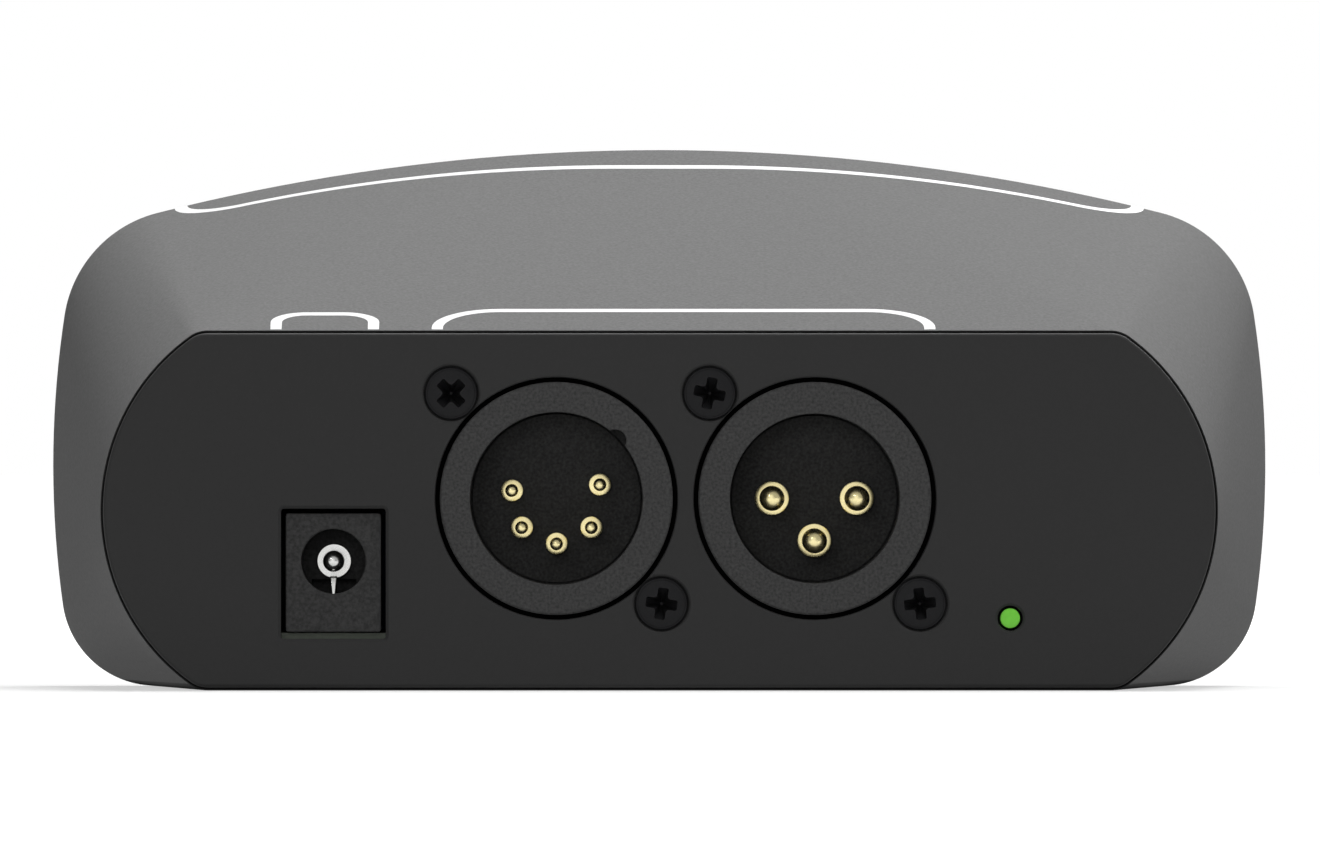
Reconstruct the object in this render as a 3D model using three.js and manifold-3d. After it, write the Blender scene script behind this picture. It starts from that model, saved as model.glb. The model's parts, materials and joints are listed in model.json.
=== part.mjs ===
// A desk-top splitter for stage-lighting control signals: one five-pin or three-pin input and four latching
// outputs. Millimetres, +Z up. The input panel looks along -Y and the output panel along +Y. The origin lies
// under the middle of the housing, on the surface that it stands on.

import * as THREE from 'three';
import { mergeVertices } from 'three/addons/utils/BufferGeometryUtils.js';
import Module from 'manifold-3d';

const wasm = await Module();
wasm.setup();

// Clearances that every fit shares
const fitGap = 0.3;
const threadGap = 0.15;
const overrun = 1;
const sharpCorner = 0.2;

// Housing and end panels
const bodyDepth = 70;
const wall = 2.2;
const roofClearance = 1.3;
const panel = {
  thickness: 2.7,
  faceThickness: 1,
  faceInset: 0.3,
  edgeInset: 0.05,
  chamfer: 0.25,
  lipThickness: 1,
  lipDepth: 2.5,
  lipOpening: 76,
};

// Connector family: ring, cavity and the pattern of its two screws. Walls are measured inwards from the ring
const ringDiameter = 22;
const ringSpacing = 2.4;
const outputCount = 4;
const connector = {
  ringChamfer: 0.25,
  ringGap: 0.5,
  screwInset: 1.07,
  flangeMargin: 1.4,
  flangeThickness: 2,
  floorThickness: 3,
  footWidth: 16,
  footHeight: 6,
  cutoutChamfer: 0.2,
};
const inputPairX = 2.48;
const male5 = {
  cavityWall: 2.85,
  cavityDepth: 13.5,
  mouthChamfer: 0.3,
  keyDiameter: 2.1,
  keyDepth: 0.68,
  keyAngle: 44.5,
  pinCircle: 8.6,
  pinAngles: [17.5, -40, -90, -140, 170],
  pinDiameter: 1.2,
  collarDiameter: 2.12,
};
const male3 = {
  cavityWall: 3,
  cavityDepth: 13.5,
  mouthChamfer: 0.3,
  pinCircle: 8.04,
  pinAngles: [0, -90, 180],
  pinDiameter: 2.35,
  collarDiameter: 3.25,
};
const pinShape = {
  setback: 2,
  collarThickness: 1,
  tailReach: 2,
  tailStagger: 2.6,
  tailBelowBoard: 0.8,
};
const female = {
  boreWall: 1.5,
  boreDepth: 14.5,
  mouthChamfer: 0.4,
  insertWall: 3.4,
  insertSetback: 1,
  insertChamfer: 0.4,
  contactDiameter: 1.9,
  contactDepth: 10,
  ribWidth: 1.4,
  ribHeight: 0.6,
};

// Latch lever of an output, seen from the side: depths run inward from the panel's face
const latch = {
  width: 7,
  tabInset: 0.1,
  tabHeight: 3.2,
  tabThickness: 1,
  tabProud: 0.4,
  pivotDepth: 2.4,
  pivotRise: 3.7,
  pivotRadius: 1.3,
  axleRadius: 0.8,
  axleLength: 1,
  armThickness: 1.1,
  armDepth: 9.6,
  hookDrop: 2.4,
  hookThickness: 1.4,
  hookRamp: 1.4,
  towerWall: 1.3,
  towerDepth: 12.6,
  roofThickness: 1,
  faceWall: 0.8,
  pressRoom: 0.85,
};

// Screws with countersunk heads
const panelScrew = {
  headDiameter: 5,
  headHeight: 1.5,
  rimHeight: 0.3,
  sunk: 0.2,
  shankDiameter: 2.8,
  length: 9,
  recessWidth: 0.9,
  recessSpan: 2.8,
  recessDepth: 1,
};
const baseScrew = {
  headDiameter: 5.4,
  headHeight: 1.6,
  rimHeight: 0.3,
  sunk: 0.4,
  shankDiameter: 3,
  length: 15,
  recessWidth: 0.85,
  recessSpan: 3.2,
  recessDepth: 1.1,
};
const inputScrewTurns = [45, 8, 12, -6];

// Circuit board and the bosses that clamp it
const board = {
  thickness: 1.6,
  edgeGap: 0.4,
  sideMargin: 6,
  corner: 1.5,
};
const boardTop = 5.43;
const boss = {
  x: 36,
  frontMargin: 21.2,
  rearMargin: 26.8,
  diameter: 7,
  holeDepth: 12,
};
const base = {
  frontMargin: 11.2,
  rearMargin: 10.8,
  corner: 4,
  ledgeWidth: 2,
  ledgeThickness: 1.3,
};

// Power jack, status light and the parts on the board
const jack = {
  x: -30.76,
  width: 9,
  height: 11,
  length: 14.2,
  setback: 0.6,
  boreDiameter: 6.1,
  boreHeight: 6.47,
  boreDepth: 9.5,
  cutoutGap: 0.45,
  cutoutDrop: 0.85,
  pinDiameter: 2,
  pinSetback: 1.2,
  pinCollarDiameter: 3.3,
  pinCollarThickness: 0.8,
  leafWidth: 0.55,
  leafThickness: 0.35,
  leafTip: 1.6,
  leafRoot: 2.75,
  leafSetback: 1.6,
};
const lightPipe = {
  x: 33.12,
  height: 6.83,
  diameter: 1.95,
  holeGap: 0.2,
  length: 6.5,
  footWidth: 3,
  footLength: 2.5,
};
const led = {
  width: 2,
  length: 1.4,
  height: 2,
};
const converter = {
  width: 14.5,
  depth: 6.2,
  height: 10,
  pitch: 16.5,
  gap: 1.2,
};
const chip = {
  width: 10.3,
  depth: 7.4,
  height: 2.6,
  chamfer: 0.4,
  gap: 1.15,
};
const receiver = {
  width: 5,
  depth: 4,
  height: 1.7,
  x: 32,
  gap: 4,
};
const capacitor = {
  diameter: 6.3,
  height: 11,
  x: -28.5,
  gap: 1.25,
  rim: 0.5,
};

// How many sides the round features have
const inputRingSides = 32;
const outputRingSides = 20;
const insertSides = 16;
const screwSides = 8;
const pinSides = 8;
const holeSides = 8;
const tailSides = 6;
const bossSides = 8;
const domeSteps = 2;
const filletSteps = 2;

// How far the flat facets of the housing may lie inside its true outline
const outlineError = 0.2;

// Planes that the panels and the housing share
const frontFaceY = -(bodyDepth + latch.tabProud) / 2;
const rearFaceY = frontFaceY + bodyDepth;
const frontBackY = frontFaceY + panel.thickness;
const rearBackY = rearFaceY - panel.thickness;
const shellFrontY = frontBackY + fitGap;
const shellRearY = rearBackY - fitGap;
const boardBottom = boardTop - board.thickness;
const onBoard = boardTop + fitGap;

// The connectors' common places and sizes, which follow from the ring
const ringRadius = ringDiameter / 2;
const connectorPitch = ringDiameter + ringSpacing;
const flangeReach = ringRadius + connector.flangeMargin;
const flangeDepth = panel.thickness + fitGap;
const flangeWidth = connectorPitch - 2 * fitGap;
const connectorAxisHeight = onBoard + flangeReach;
const screwOffset = ringRadius - connector.screwInset;
const boreRadius = ringRadius - female.boreWall;
const insertRadius = ringRadius - female.insertWall;
const tabBottom = ringRadius - latch.tabInset;
const tabTop = tabBottom + latch.tabHeight;
const pivotHeight = tabBottom + latch.pivotRise;
const hookBottom = tabBottom - latch.hookDrop;

// End outlines of the housing. The input end has a level top and the output end a crowned one
const frontHeight = connectorAxisHeight + flangeReach + roofClearance + wall;
const rearSideRoom = 9.52;
const frontOutline = {
  width: 105.6,
  height: frontHeight,
  widestHeight: frontHeight / 2,
  sideRadius: 20.3,
  topCorner: 3,
  bottomCorner: 3,
};
const rearOutline = {
  width: outputCount * connectorPitch + 2 * rearSideRoom,
  height: 51.57,
  widestHeight: 21.19,
  sideRadius: 96.8,
  crownRadius: 196,
  topCorner: 12,
  bottomCorner: 9,
};

const square = (value) => value * value;
const toRadians = (degrees) => THREE.MathUtils.degToRad(degrees);
const xAxis = new THREE.Vector3(1, 0, 0);
const yAxis = new THREE.Vector3(0, 1, 0);
const zAxis = new THREE.Vector3(0, 0, 1);

// Solids: three.js geometry in, three.js geometry out

function solidOf(geometry) {
  const bare = geometry.clone();
  bare.deleteAttribute('normal');
  bare.deleteAttribute('uv');
  const merged = geometry.userData.closed ? bare : mergeVertices(bare);
  const corners = Array.from(merged.index.array);
  const kept = [];
  for (let i = 0; i < corners.length; i += 3) {
    const [a, b, c] = corners.slice(i, i + 3);
    if (a !== b && b !== c && c !== a) kept.push(a, b, c);
  }
  const mesh = new wasm.Mesh({
    numProp: 3,
    vertProperties: new Float32Array(merged.attributes.position.array),
    triVerts: new Uint32Array(kept),
  });
  return new wasm.Manifold(mesh);
}

function geometryOf(solid) {
  const mesh = solid.getMesh();
  const geometry = new THREE.BufferGeometry();
  geometry.setAttribute('position', new THREE.BufferAttribute(mesh.vertProperties, 3));
  geometry.setIndex(new THREE.BufferAttribute(mesh.triVerts, 1));
  geometry.userData.closed = true;
  return geometry;
}

function join(...pieces) {
  return geometryOf(pieces.map(solidOf).reduce((whole, next) => whole.add(next)));
}

function cut(body, ...tools) {
  return geometryOf(tools.map(solidOf).reduce((rest, tool) => rest.subtract(tool), solidOf(body)));
}

function common(a, b) {
  return geometryOf(solidOf(a).intersect(solidOf(b)));
}

function moved(geometry, x, y, z) {
  const copy = geometry.clone();
  copy.translate(x, y, z);
  copy.userData.closed = geometry.userData.closed;
  return copy;
}

function turned(geometry, axis, angle) {
  const copy = geometry.clone();
  copy.applyMatrix4(new THREE.Matrix4().makeRotationAxis(axis, angle));
  copy.userData.closed = geometry.userData.closed;
  return copy;
}

// Basic shapes

function box({ x, y, z }) {
  const geometry = new THREE.BoxGeometry(x[1] - x[0], y[1] - y[0], z[1] - z[0]);
  geometry.translate((x[0] + x[1]) / 2, (y[0] + y[1]) / 2, (z[0] + z[1]) / 2);
  return geometry;
}

const spread = (size) => [-size / 2, size / 2];

// A round bar along one axis. Its place gives the two other coordinates
function bar(axis, place, radius, [start, end], sides) {
  const geometry = new THREE.CylinderGeometry(radius, radius, end - start, sides);
  if (axis === 'x') geometry.rotateZ(-Math.PI / 2);
  if (axis === 'z') geometry.rotateX(Math.PI / 2);
  const centre = new THREE.Vector3(place.x ?? 0, place.y ?? 0, place.z ?? 0);
  centre[axis] = (start + end) / 2;
  geometry.translate(centre.x, centre.y, centre.z);
  return geometry;
}

// A profile of [radius, y] points turned about the Y axis
function revolve(profile, sides) {
  return new THREE.LatheGeometry(profile.map(([radius, y]) => new THREE.Vector2(radius, y)), sides);
}

function roundedRectangle(width, bottom, top, corner) {
  const right = width / 2;
  const shape = new THREE.Shape();
  shape.moveTo(-right + corner, bottom);
  shape.lineTo(right - corner, bottom);
  shape.absarc(right - corner, bottom + corner, corner, -Math.PI / 2, 0);
  shape.lineTo(right, top - corner);
  shape.absarc(right - corner, top - corner, corner, 0, Math.PI / 2);
  shape.lineTo(-right + corner, top);
  shape.absarc(-right + corner, top - corner, corner, Math.PI / 2, Math.PI);
  shape.lineTo(-right, bottom + corner);
  shape.absarc(-right + corner, bottom + corner, corner, Math.PI, Math.PI * 3 / 2);
  return shape;
}

// Extrudes an outline drawn in x and y upwards
function extrudeZ(shape, [start, end]) {
  const geometry = new THREE.ExtrudeGeometry(shape, {
    depth: end - start,
    bevelEnabled: false,
    curveSegments: filletSteps,
  });
  geometry.translate(0, 0, start);
  return geometry;
}

// Extrudes an outline drawn in y and z along X
function extrudeX(shape, [start, end]) {
  const geometry = new THREE.ExtrudeGeometry(shape, { depth: end - start, bevelEnabled: false });
  geometry.translate(0, 0, start);
  geometry.rotateX(Math.PI / 2);
  geometry.rotateZ(Math.PI / 2);
  return geometry;
}

// Outlines of the housing, in x and z

// The point right of the line between two centres that lies at these distances from them
function meetingPoint(centreA, distanceA, centreB, distanceB) {
  const apart = centreA.distanceTo(centreB);
  const along = (square(distanceA) - square(distanceB) + square(apart)) / (2 * apart);
  const across = Math.sqrt(square(distanceA) - square(along));
  const direction = centreB.clone().sub(centreA).divideScalar(apart);
  const foot = centreA.clone().addScaledVector(direction, along);
  return new THREE.Vector2(foot.x + direction.y * across, foot.y - direction.x * across);
}

// The centre, at a given height, of a corner that touches the side arc from inside
function cornerCentre(side, radius, z) {
  const reach = Math.sqrt(square(side.radius - radius) - square(z - side.centre.y));
  return new THREE.Vector2(side.centre.x + reach, z);
}

function angleFrom(centre, point) {
  return Math.atan2(point.y - centre.y, point.x - centre.x);
}

// The right half of an outline as arcs from the bottom up. Each arc ends at the given angle of its normal
function outlineArcs(outline, inset) {
  const side = {
    centre: new THREE.Vector2(outline.width / 2 - outline.sideRadius, outline.widestHeight),
    radius: outline.sideRadius - inset,
  };
  const bottomRadius = Math.max(outline.bottomCorner - inset, sharpCorner);
  const topRadius = Math.max(outline.topCorner - inset, sharpCorner);
  const bottom = cornerCentre(side, bottomRadius, inset + bottomRadius);
  const lower = [
    { centre: bottom, radius: bottomRadius, end: angleFrom(side.centre, bottom) },
    { ...side },
  ];
  if (!outline.crownRadius) {
    const upper = cornerCentre(side, topRadius, outline.height - inset - topRadius);
    lower[1].end = angleFrom(side.centre, upper);
    return [...lower, { centre: upper, radius: topRadius, end: Math.PI / 2 }];
  }
  const crown = {
    centre: new THREE.Vector2(0, outline.height - outline.crownRadius),
    radius: outline.crownRadius - inset,
    end: Math.PI / 2,
  };
  const upper = meetingPoint(crown.centre, crown.radius - topRadius, side.centre, side.radius - topRadius);
  lower[1].end = angleFrom(side.centre, upper);
  return [...lower, { centre: upper, radius: topRadius, end: angleFrom(crown.centre, upper) }, crown];
}

// Normals at which both end outlines have a point, dense enough for the larger arc of the two
function sharedNormals() {
  const ends = [frontOutline, rearOutline].map((outline) => outlineArcs(outline, 0));
  const breaks = [0, ...ends.flat().map((arc) => arc.end)].sort((a, b) => a - b);
  const normals = [-Math.PI / 2];
  for (const end of breaks) {
    const start = normals.at(-1);
    const radius = Math.max(...ends.map((arcs) => arcs.find((arc) => end <= arc.end).radius));
    const steps = Math.ceil((end - start) / Math.sqrt(8 * outlineError / radius));
    for (let i = 1; i < steps; i += 1) normals.push(start + (end - start) * i / steps);
    if (steps > 0) normals.push(end);
  }
  return normals;
}

const outlineNormals = sharedNormals();

// One loop that runs anticlockwise seen from the input end
function outlinePoints(outline, inset) {
  const arcs = outlineArcs(outline, inset);
  const right = outlineNormals.map((normal) => {
    const arc = arcs.find(({ end }) => normal <= end);
    return new THREE.Vector2(Math.cos(normal), Math.sin(normal)).multiplyScalar(arc.radius).add(arc.centre);
  });
  const left = right.map((point) => new THREE.Vector2(-point.x, point.y)).reverse();
  return [...right, ...left];
}

// The housing's outline at any depth. Its skin is developable: straight lines join the points of the two end
// outlines that have equal normals, and each facet between two lines is flat. Past its ends it runs on level
function bodyPoints(y, inset) {
  const share = THREE.MathUtils.clamp((y - shellFrontY) / (shellRearY - shellFrontY), 0, 1);
  const rear = outlinePoints(rearOutline, inset);
  return outlinePoints(frontOutline, inset).map((point, i) => point.lerp(rear[i], share));
}

// A closed skin over outlines of equally many points, listed from low y to high y
function loft(sections) {
  const count = sections[0].points.length;
  const last = (sections.length - 1) * count;
  const positions = [];
  const faces = [];
  for (const section of sections) {
    for (const point of section.points) positions.push(point.x, section.y, point.y);
  }
  for (let row = 0; row < last; row += count) {
    for (let i = 0; i < count; i += 1) {
      const a = row + i;
      const b = row + (i + 1) % count;
      faces.push(a, a + count, b, b, a + count, b + count);
    }
  }
  for (const [a, b, c] of THREE.ShapeUtils.triangulateShape(sections[0].points, [])) faces.push(a, b, c);
  for (const [a, b, c] of THREE.ShapeUtils.triangulateShape(sections.at(-1).points, [])) {
    faces.push(last + c, last + b, last + a);
  }
  const geometry = new THREE.BufferGeometry();
  geometry.setAttribute('position', new THREE.Float32BufferAttribute(positions, 3));
  geometry.setIndex(faces);
  return geometry;
}

function bodyLoft([start, end], inset) {
  const stations = [start, shellFrontY, shellRearY, end].filter((y) => y >= start && y <= end);
  const places = [...new Set(stations)];
  return loft(places.map((y) => ({ y, points: bodyPoints(y, inset) })));
}

// Places: every connector is drawn about its own axis, with its face at y = 0 and its depth along +Y

const inputSockets = [male5, male3].map((male, i) => ({
  male,
  x: inputPairX + (i - 1 / 2) * connectorPitch,
  y: frontFaceY,
  z: connectorAxisHeight,
  turn: 0,
}));
const outputSockets = Array.from({ length: outputCount }, (_, i) => ({
  x: (i - (outputCount - 1) / 2) * -connectorPitch,
  y: rearFaceY,
  z: connectorAxisHeight,
  turn: Math.PI,
}));

function atSocket(geometry, socket) {
  return moved(turned(geometry, zAxis, socket.turn), socket.x, socket.y, socket.z);
}

// The two screws of a connector sit on one diagonal
const screwPlaces = [
  { name: 'upper', x: -screwOffset, z: screwOffset },
  { name: 'lower', x: screwOffset, z: -screwOffset },
];
const bossFrontY = frontFaceY + boss.frontMargin;
const bossRearY = rearFaceY - boss.rearMargin;
const bossPlaces = [
  { name: 'front_left', x: -boss.x, y: bossFrontY },
  { name: 'front_right', x: boss.x, y: bossFrontY },
  { name: 'rear_left', x: -boss.x, y: bossRearY },
  { name: 'rear_right', x: boss.x, y: bossRearY },
];

// Screws: the head's face lies at y = 0 and the shank runs along +Y. The cross recess can be turned

function screwSolid(size, degrees) {
  const head = size.headDiameter / 2;
  const shank = size.shankDiameter / 2;
  const body = revolve([
    [0, 0],
    [head, 0],
    [head, size.rimHeight],
    [shank, size.headHeight],
    [shank, size.length],
    [0, size.length + shank],
  ], screwSides);
  const slots = [size.recessWidth, size.recessSpan].map((width, i, pair) => turned(box({
    x: spread(width),
    y: [-overrun, size.recessDepth],
    z: spread(pair[1 - i]),
  }), yAxis, toRadians(degrees)));
  return cut(body, ...slots);
}

// The room that a screw's head and shank take in the piece that it clamps, out to thickness
function countersink(size, thickness) {
  const head = size.headDiameter / 2 + threadGap;
  const shank = size.shankDiameter / 2 + threadGap;
  return revolve([
    [0, -overrun],
    [head, -overrun],
    [head, size.sunk + size.rimHeight],
    [shank, size.sunk + size.headHeight],
    [shank, thickness + overrun],
    [0, thickness + overrun],
  ], screwSides);
}

// End panels

function panelBlank(outline, faceY, inward) {
  const layers = [
    [0, panel.faceInset + panel.chamfer],
    [panel.chamfer, panel.faceInset],
    [panel.faceThickness, panel.faceInset],
  ];
  const face = layers.map(([depth, inset]) => ({
    y: faceY + inward * depth,
    points: outlinePoints(outline, inset),
  }));
  const backing = [panel.faceThickness, panel.thickness].map((depth) => ({
    y: faceY + inward * depth,
    points: outlinePoints(outline, panel.edgeInset),
  }));
  const inOrder = (sections) => sections.sort((a, b) => a.y - b.y);
  return join(loft(inOrder(face)), loft(inOrder(backing)));
}

// The lip that registers a panel inside the housing's open end
function panelLip(backY, inward) {
  const outer = wall + fitGap;
  const span = [backY, backY + inward * (fitGap + panel.lipDepth)].sort((a, b) => a - b);
  const rooted = [span[0] - (inward > 0 ? fitGap : 0), span[1] + (inward < 0 ? fitGap : 0)];
  const past = [rooted[0] - overrun, rooted[1] + overrun];
  const ring = cut(bodyLoft(rooted, outer), bodyLoft(past, outer + panel.lipThickness));
  const opening = box({ x: spread(panel.lipOpening), y: past, z: [0, rearOutline.height] });
  const boardSlot = box({
    x: spread(boardWidth + 2 * fitGap),
    y: past,
    z: [boardBottom - fitGap, onBoard],
  });
  return cut(ring, opening, boardSlot);
}

// A round cut-out for a connector ring, with a small chamfer at the panel's face
function ringCutout(sides) {
  const radius = ringRadius + connector.ringGap;
  const chamfer = connector.cutoutChamfer;
  return revolve([
    [0, -overrun],
    [radius + chamfer + overrun, -overrun],
    [radius, chamfer],
    [radius, panel.thickness + overrun],
    [0, panel.thickness + overrun],
  ], sides);
}

function screwCutouts(thickness) {
  return screwPlaces.map((place) => moved(countersink(panelScrew, thickness), place.x, 0, place.z));
}

function frontPanel() {
  const socketTools = [ringCutout(inputRingSides), ...screwCutouts(panel.thickness)];
  const tools = inputSockets.flatMap((socket) => socketTools.map((tool) => atSocket(tool, socket)));
  const through = [frontFaceY - overrun, frontBackY + overrun];
  tools.push(box({
    x: spread(jack.width + 2 * jack.cutoutGap).map((x) => x + jack.x),
    y: through,
    z: [onBoard - jack.cutoutDrop, onBoard + jack.height + jack.cutoutGap],
  }));
  const lightHole = lightPipe.diameter / 2 + lightPipe.holeGap;
  tools.push(bar('y', { x: lightPipe.x, z: lightPipe.height }, lightHole, through, screwSides));
  return cut(join(panelBlank(frontOutline, frontFaceY, 1), panelLip(frontBackY, 1)), ...tools);
}

const towerWidth = latch.width + 2 * (latch.axleLength + fitGap + latch.towerWall);
const towerTop = pivotHeight + latch.pivotRadius + fitGap + latch.roofThickness;

function rearPanel() {
  const notch = box({
    x: spread(towerWidth + 2 * connector.ringGap),
    y: [-overrun, panel.thickness + overrun],
    z: [0, towerTop + connector.ringGap],
  });
  const socketTools = [ringCutout(outputRingSides), notch, ...screwCutouts(panel.thickness)];
  const tools = outputSockets.flatMap((socket) => socketTools.map((tool) => atSocket(tool, socket)));
  return cut(join(panelBlank(rearOutline, rearFaceY, -1), panelLip(rearBackY, -1)), ...tools);
}

// Housing, base plate and circuit board

const boardWidth = 2 * (boss.x + board.sideMargin);
const baseWidth = 2 * (boss.x + boss.diameter / 2 + base.ledgeWidth);

function baseOutline(margin) {
  const front = frontFaceY + base.frontMargin - margin;
  const rear = rearFaceY - base.rearMargin + margin;
  return roundedRectangle(baseWidth + 2 * margin, front, rear, base.corner + margin);
}

function topShell() {
  const outer = bodyLoft([shellFrontY, shellRearY], 0);
  const inner = bodyLoft([shellFrontY - overrun, shellRearY + overrun], wall);
  const ledge = extrudeZ(baseOutline(base.ledgeWidth), [wall / 2, wall + base.ledgeThickness]);
  const columns = bossPlaces.map((place) => common(
    bar('z', place, boss.diameter / 2, [onBoard, rearOutline.height], bossSides),
    outer,
  ));
  const plateRoom = extrudeZ(baseOutline(fitGap), [-overrun, wall + fitGap]);
  const doorway = extrudeZ(baseOutline(fitGap - base.ledgeWidth), [0, wall + base.ledgeThickness + overrun]);
  const pilots = bossPlaces.map((place) => bar('z', place, baseScrew.shankDiameter / 2 + threadGap,
    [0, onBoard + boss.holeDepth], screwSides));
  return cut(join(cut(outer, inner), ledge, ...columns), plateRoom, doorway, ...pilots);
}

function basePlate() {
  const plate = extrudeZ(baseOutline(0), [0, wall]);
  const standoffSpan = [wall / 2, boardBottom - fitGap];
  const standoffs = bossPlaces.map((place) => bar('z', place, boss.diameter / 2, standoffSpan, bossSides));
  const seats = bossPlaces.map((place) => moved(
    turned(countersink(baseScrew, boardBottom), xAxis, Math.PI / 2),
    place.x,
    place.y,
    0,
  ));
  return cut(join(plate, ...standoffs), ...seats);
}

function circuitBoard() {
  const front = frontBackY + board.edgeGap;
  const rear = rearBackY - board.edgeGap;
  const outline = roundedRectangle(boardWidth, front, rear, board.corner);
  const through = [boardBottom - overrun, boardTop + overrun];
  const screwHole = baseScrew.shankDiameter / 2 + fitGap;
  const holes = bossPlaces.map((place) => bar('z', place, screwHole, through, holeSides));
  for (const socket of inputSockets) {
    for (const pin of pinPlaces(socket.male)) {
      const place = { x: socket.x + pin.x, y: socket.y + pin.tailY };
      holes.push(bar('z', place, socket.male.pinDiameter / 2 + fitGap, through, tailSides));
    }
  }
  return cut(extrudeZ(outline, [boardBottom, boardTop]), ...holes);
}

// Connectors

function connectorBody(depth, sides) {
  const core = revolve([
    [0, 0],
    [ringRadius - connector.ringChamfer, 0],
    [ringRadius, connector.ringChamfer],
    [ringRadius, depth],
    [0, depth],
  ], sides);
  const flange = box({
    x: spread(flangeWidth),
    y: [flangeDepth, flangeDepth + connector.flangeThickness],
    z: [-flangeReach, flangeReach],
  });
  const foot = box({
    x: spread(connector.footWidth),
    y: [flangeDepth, depth],
    z: [-flangeReach, connector.footHeight - flangeReach],
  });
  return join(core, flange, foot);
}

function flangeHoles() {
  const through = [flangeDepth - overrun, panelScrew.length + panelScrew.sunk + panelScrew.shankDiameter];
  const hole = panelScrew.shankDiameter / 2 + threadGap;
  return screwPlaces.map((place) => bar('y', place, hole, through, screwSides));
}

function boreTool(radius, depth, chamfer, sides) {
  return revolve([
    [0, -overrun],
    [radius + chamfer + overrun, -overrun],
    [radius, chamfer],
    [radius, depth],
    [0, depth],
  ], sides);
}

function pinPlaces(male) {
  return male.pinAngles.map((degrees, i) => {
    const x = male.pinCircle / 2 * Math.cos(toRadians(degrees));
    const z = male.pinCircle / 2 * Math.sin(toRadians(degrees));
    const row = z < -male.pinDiameter ? 0 : 1;
    return { name: `pin_${i + 1}`, x, z, tailY: tailDepth(male, row) };
  });
}

// How deep the tails of a row of contacts go down to the board. The upper row stands behind the lower one
function tailDepth(male, row) {
  return male.cavityDepth + connector.floorThickness + pinShape.tailReach + row * pinShape.tailStagger;
}

function maleHousing(male) {
  const depth = male.cavityDepth + connector.floorThickness;
  const cavityRadius = ringRadius - male.cavityWall;
  const cavity = boreTool(cavityRadius, male.cavityDepth, male.mouthChamfer, inputRingSides);
  const tools = [cavity, ...flangeHoles()];
  for (const pin of pinPlaces(male)) {
    tools.push(bar('y', pin, male.pinDiameter / 2 + threadGap, [male.cavityDepth - overrun, depth + overrun],
      holeSides));
  }
  if (male.keyDiameter) {
    const keyRadius = male.keyDiameter / 2;
    const place = { x: cavityRadius + male.keyDepth - keyRadius };
    const key = bar('y', place, keyRadius, [-overrun, male.cavityDepth], screwSides);
    tools.push(turned(key, yAxis, -toRadians(male.keyAngle)));
  }
  return cut(connectorBody(depth, inputRingSides), ...tools);
}

// A contact pin: domed nose, collar on the cavity's floor, and a tail bent down through the board
function maleContact(male, pin) {
  const radius = male.pinDiameter / 2;
  const profile = [];
  for (let i = 0; i <= domeSteps; i += 1) {
    const angle = Math.PI / 2 * i / domeSteps;
    profile.push([radius * Math.sin(angle), pinShape.setback + radius * (1 - Math.cos(angle))]);
  }
  profile[0][0] = 0;
  const collarBack = male.cavityDepth - threadGap;
  profile.push([radius, collarBack - pinShape.collarThickness]);
  profile.push([male.collarDiameter / 2, collarBack - pinShape.collarThickness]);
  profile.push([male.collarDiameter / 2, collarBack]);
  profile.push([radius, collarBack]);
  profile.push([radius, pin.tailY + radius]);
  profile.push([0, pin.tailY + radius]);
  const tailBottom = boardBottom - pinShape.tailBelowBoard - connectorAxisHeight - pin.z;
  const tail = bar('z', { y: pin.tailY }, radius, [tailBottom, radius], tailSides);
  return join(revolve(profile, pinSides), tail);
}

function femaleHousing() {
  const depth = female.boreDepth + connector.floorThickness;
  const half = latch.width / 2 + fitGap;
  const tower = box({
    x: spread(towerWidth),
    y: [0, latch.towerDepth],
    z: [0, towerTop],
  });
  const wellBottom = tabBottom - latch.pressRoom;
  const wellTop = pivotHeight + latch.pivotRadius + fitGap;
  const window = box({
    x: [-half, half],
    y: [-overrun, latch.faceWall + fitGap],
    z: [wellBottom, tabTop + fitGap],
  });
  const well = box({
    x: [-half, half],
    y: [latch.faceWall, latch.towerDepth - latch.towerWall],
    z: [wellBottom, wellTop],
  });
  const hookSlot = box({
    x: [-half, half],
    y: [latch.armDepth - 2 * latch.hookThickness - fitGap, latch.towerDepth - latch.towerWall],
    z: [0, wellTop],
  });
  const axleSpan = spread(latch.width + 2 * (latch.axleLength + fitGap));
  const pivot = { y: latch.pivotDepth, z: pivotHeight };
  const axleRoom = bar('x', pivot, latch.axleRadius + threadGap, axleSpan, screwSides);
  const tools = [
    boreTool(boreRadius, female.boreDepth, female.mouthChamfer, outputRingSides),
    window,
    well,
    hookSlot,
    axleRoom,
    ...flangeHoles(),
  ];
  return cut(join(connectorBody(depth, outputRingSides), tower), ...tools);
}

function femaleInsert() {
  const floor = female.boreDepth - fitGap;
  const core = revolve([
    [0, female.insertSetback],
    [insertRadius - female.insertChamfer, female.insertSetback],
    [insertRadius, female.insertSetback + female.insertChamfer],
    [insertRadius, floor],
    [0, floor],
  ], insertSides);
  const rib = turned(box({
    x: [0, insertRadius + female.ribHeight],
    y: [female.insertSetback + female.insertChamfer, floor],
    z: spread(female.ribWidth),
  }), yAxis, toRadians(male5.keyAngle) - Math.PI);
  const sockets = pinPlaces(male5).map((pin) => bar('y', { x: -pin.x, z: pin.z }, female.contactDiameter / 2,
    [female.insertSetback - overrun, female.insertSetback + female.contactDepth], holeSides));
  return cut(join(core, rib), ...sockets);
}

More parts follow.
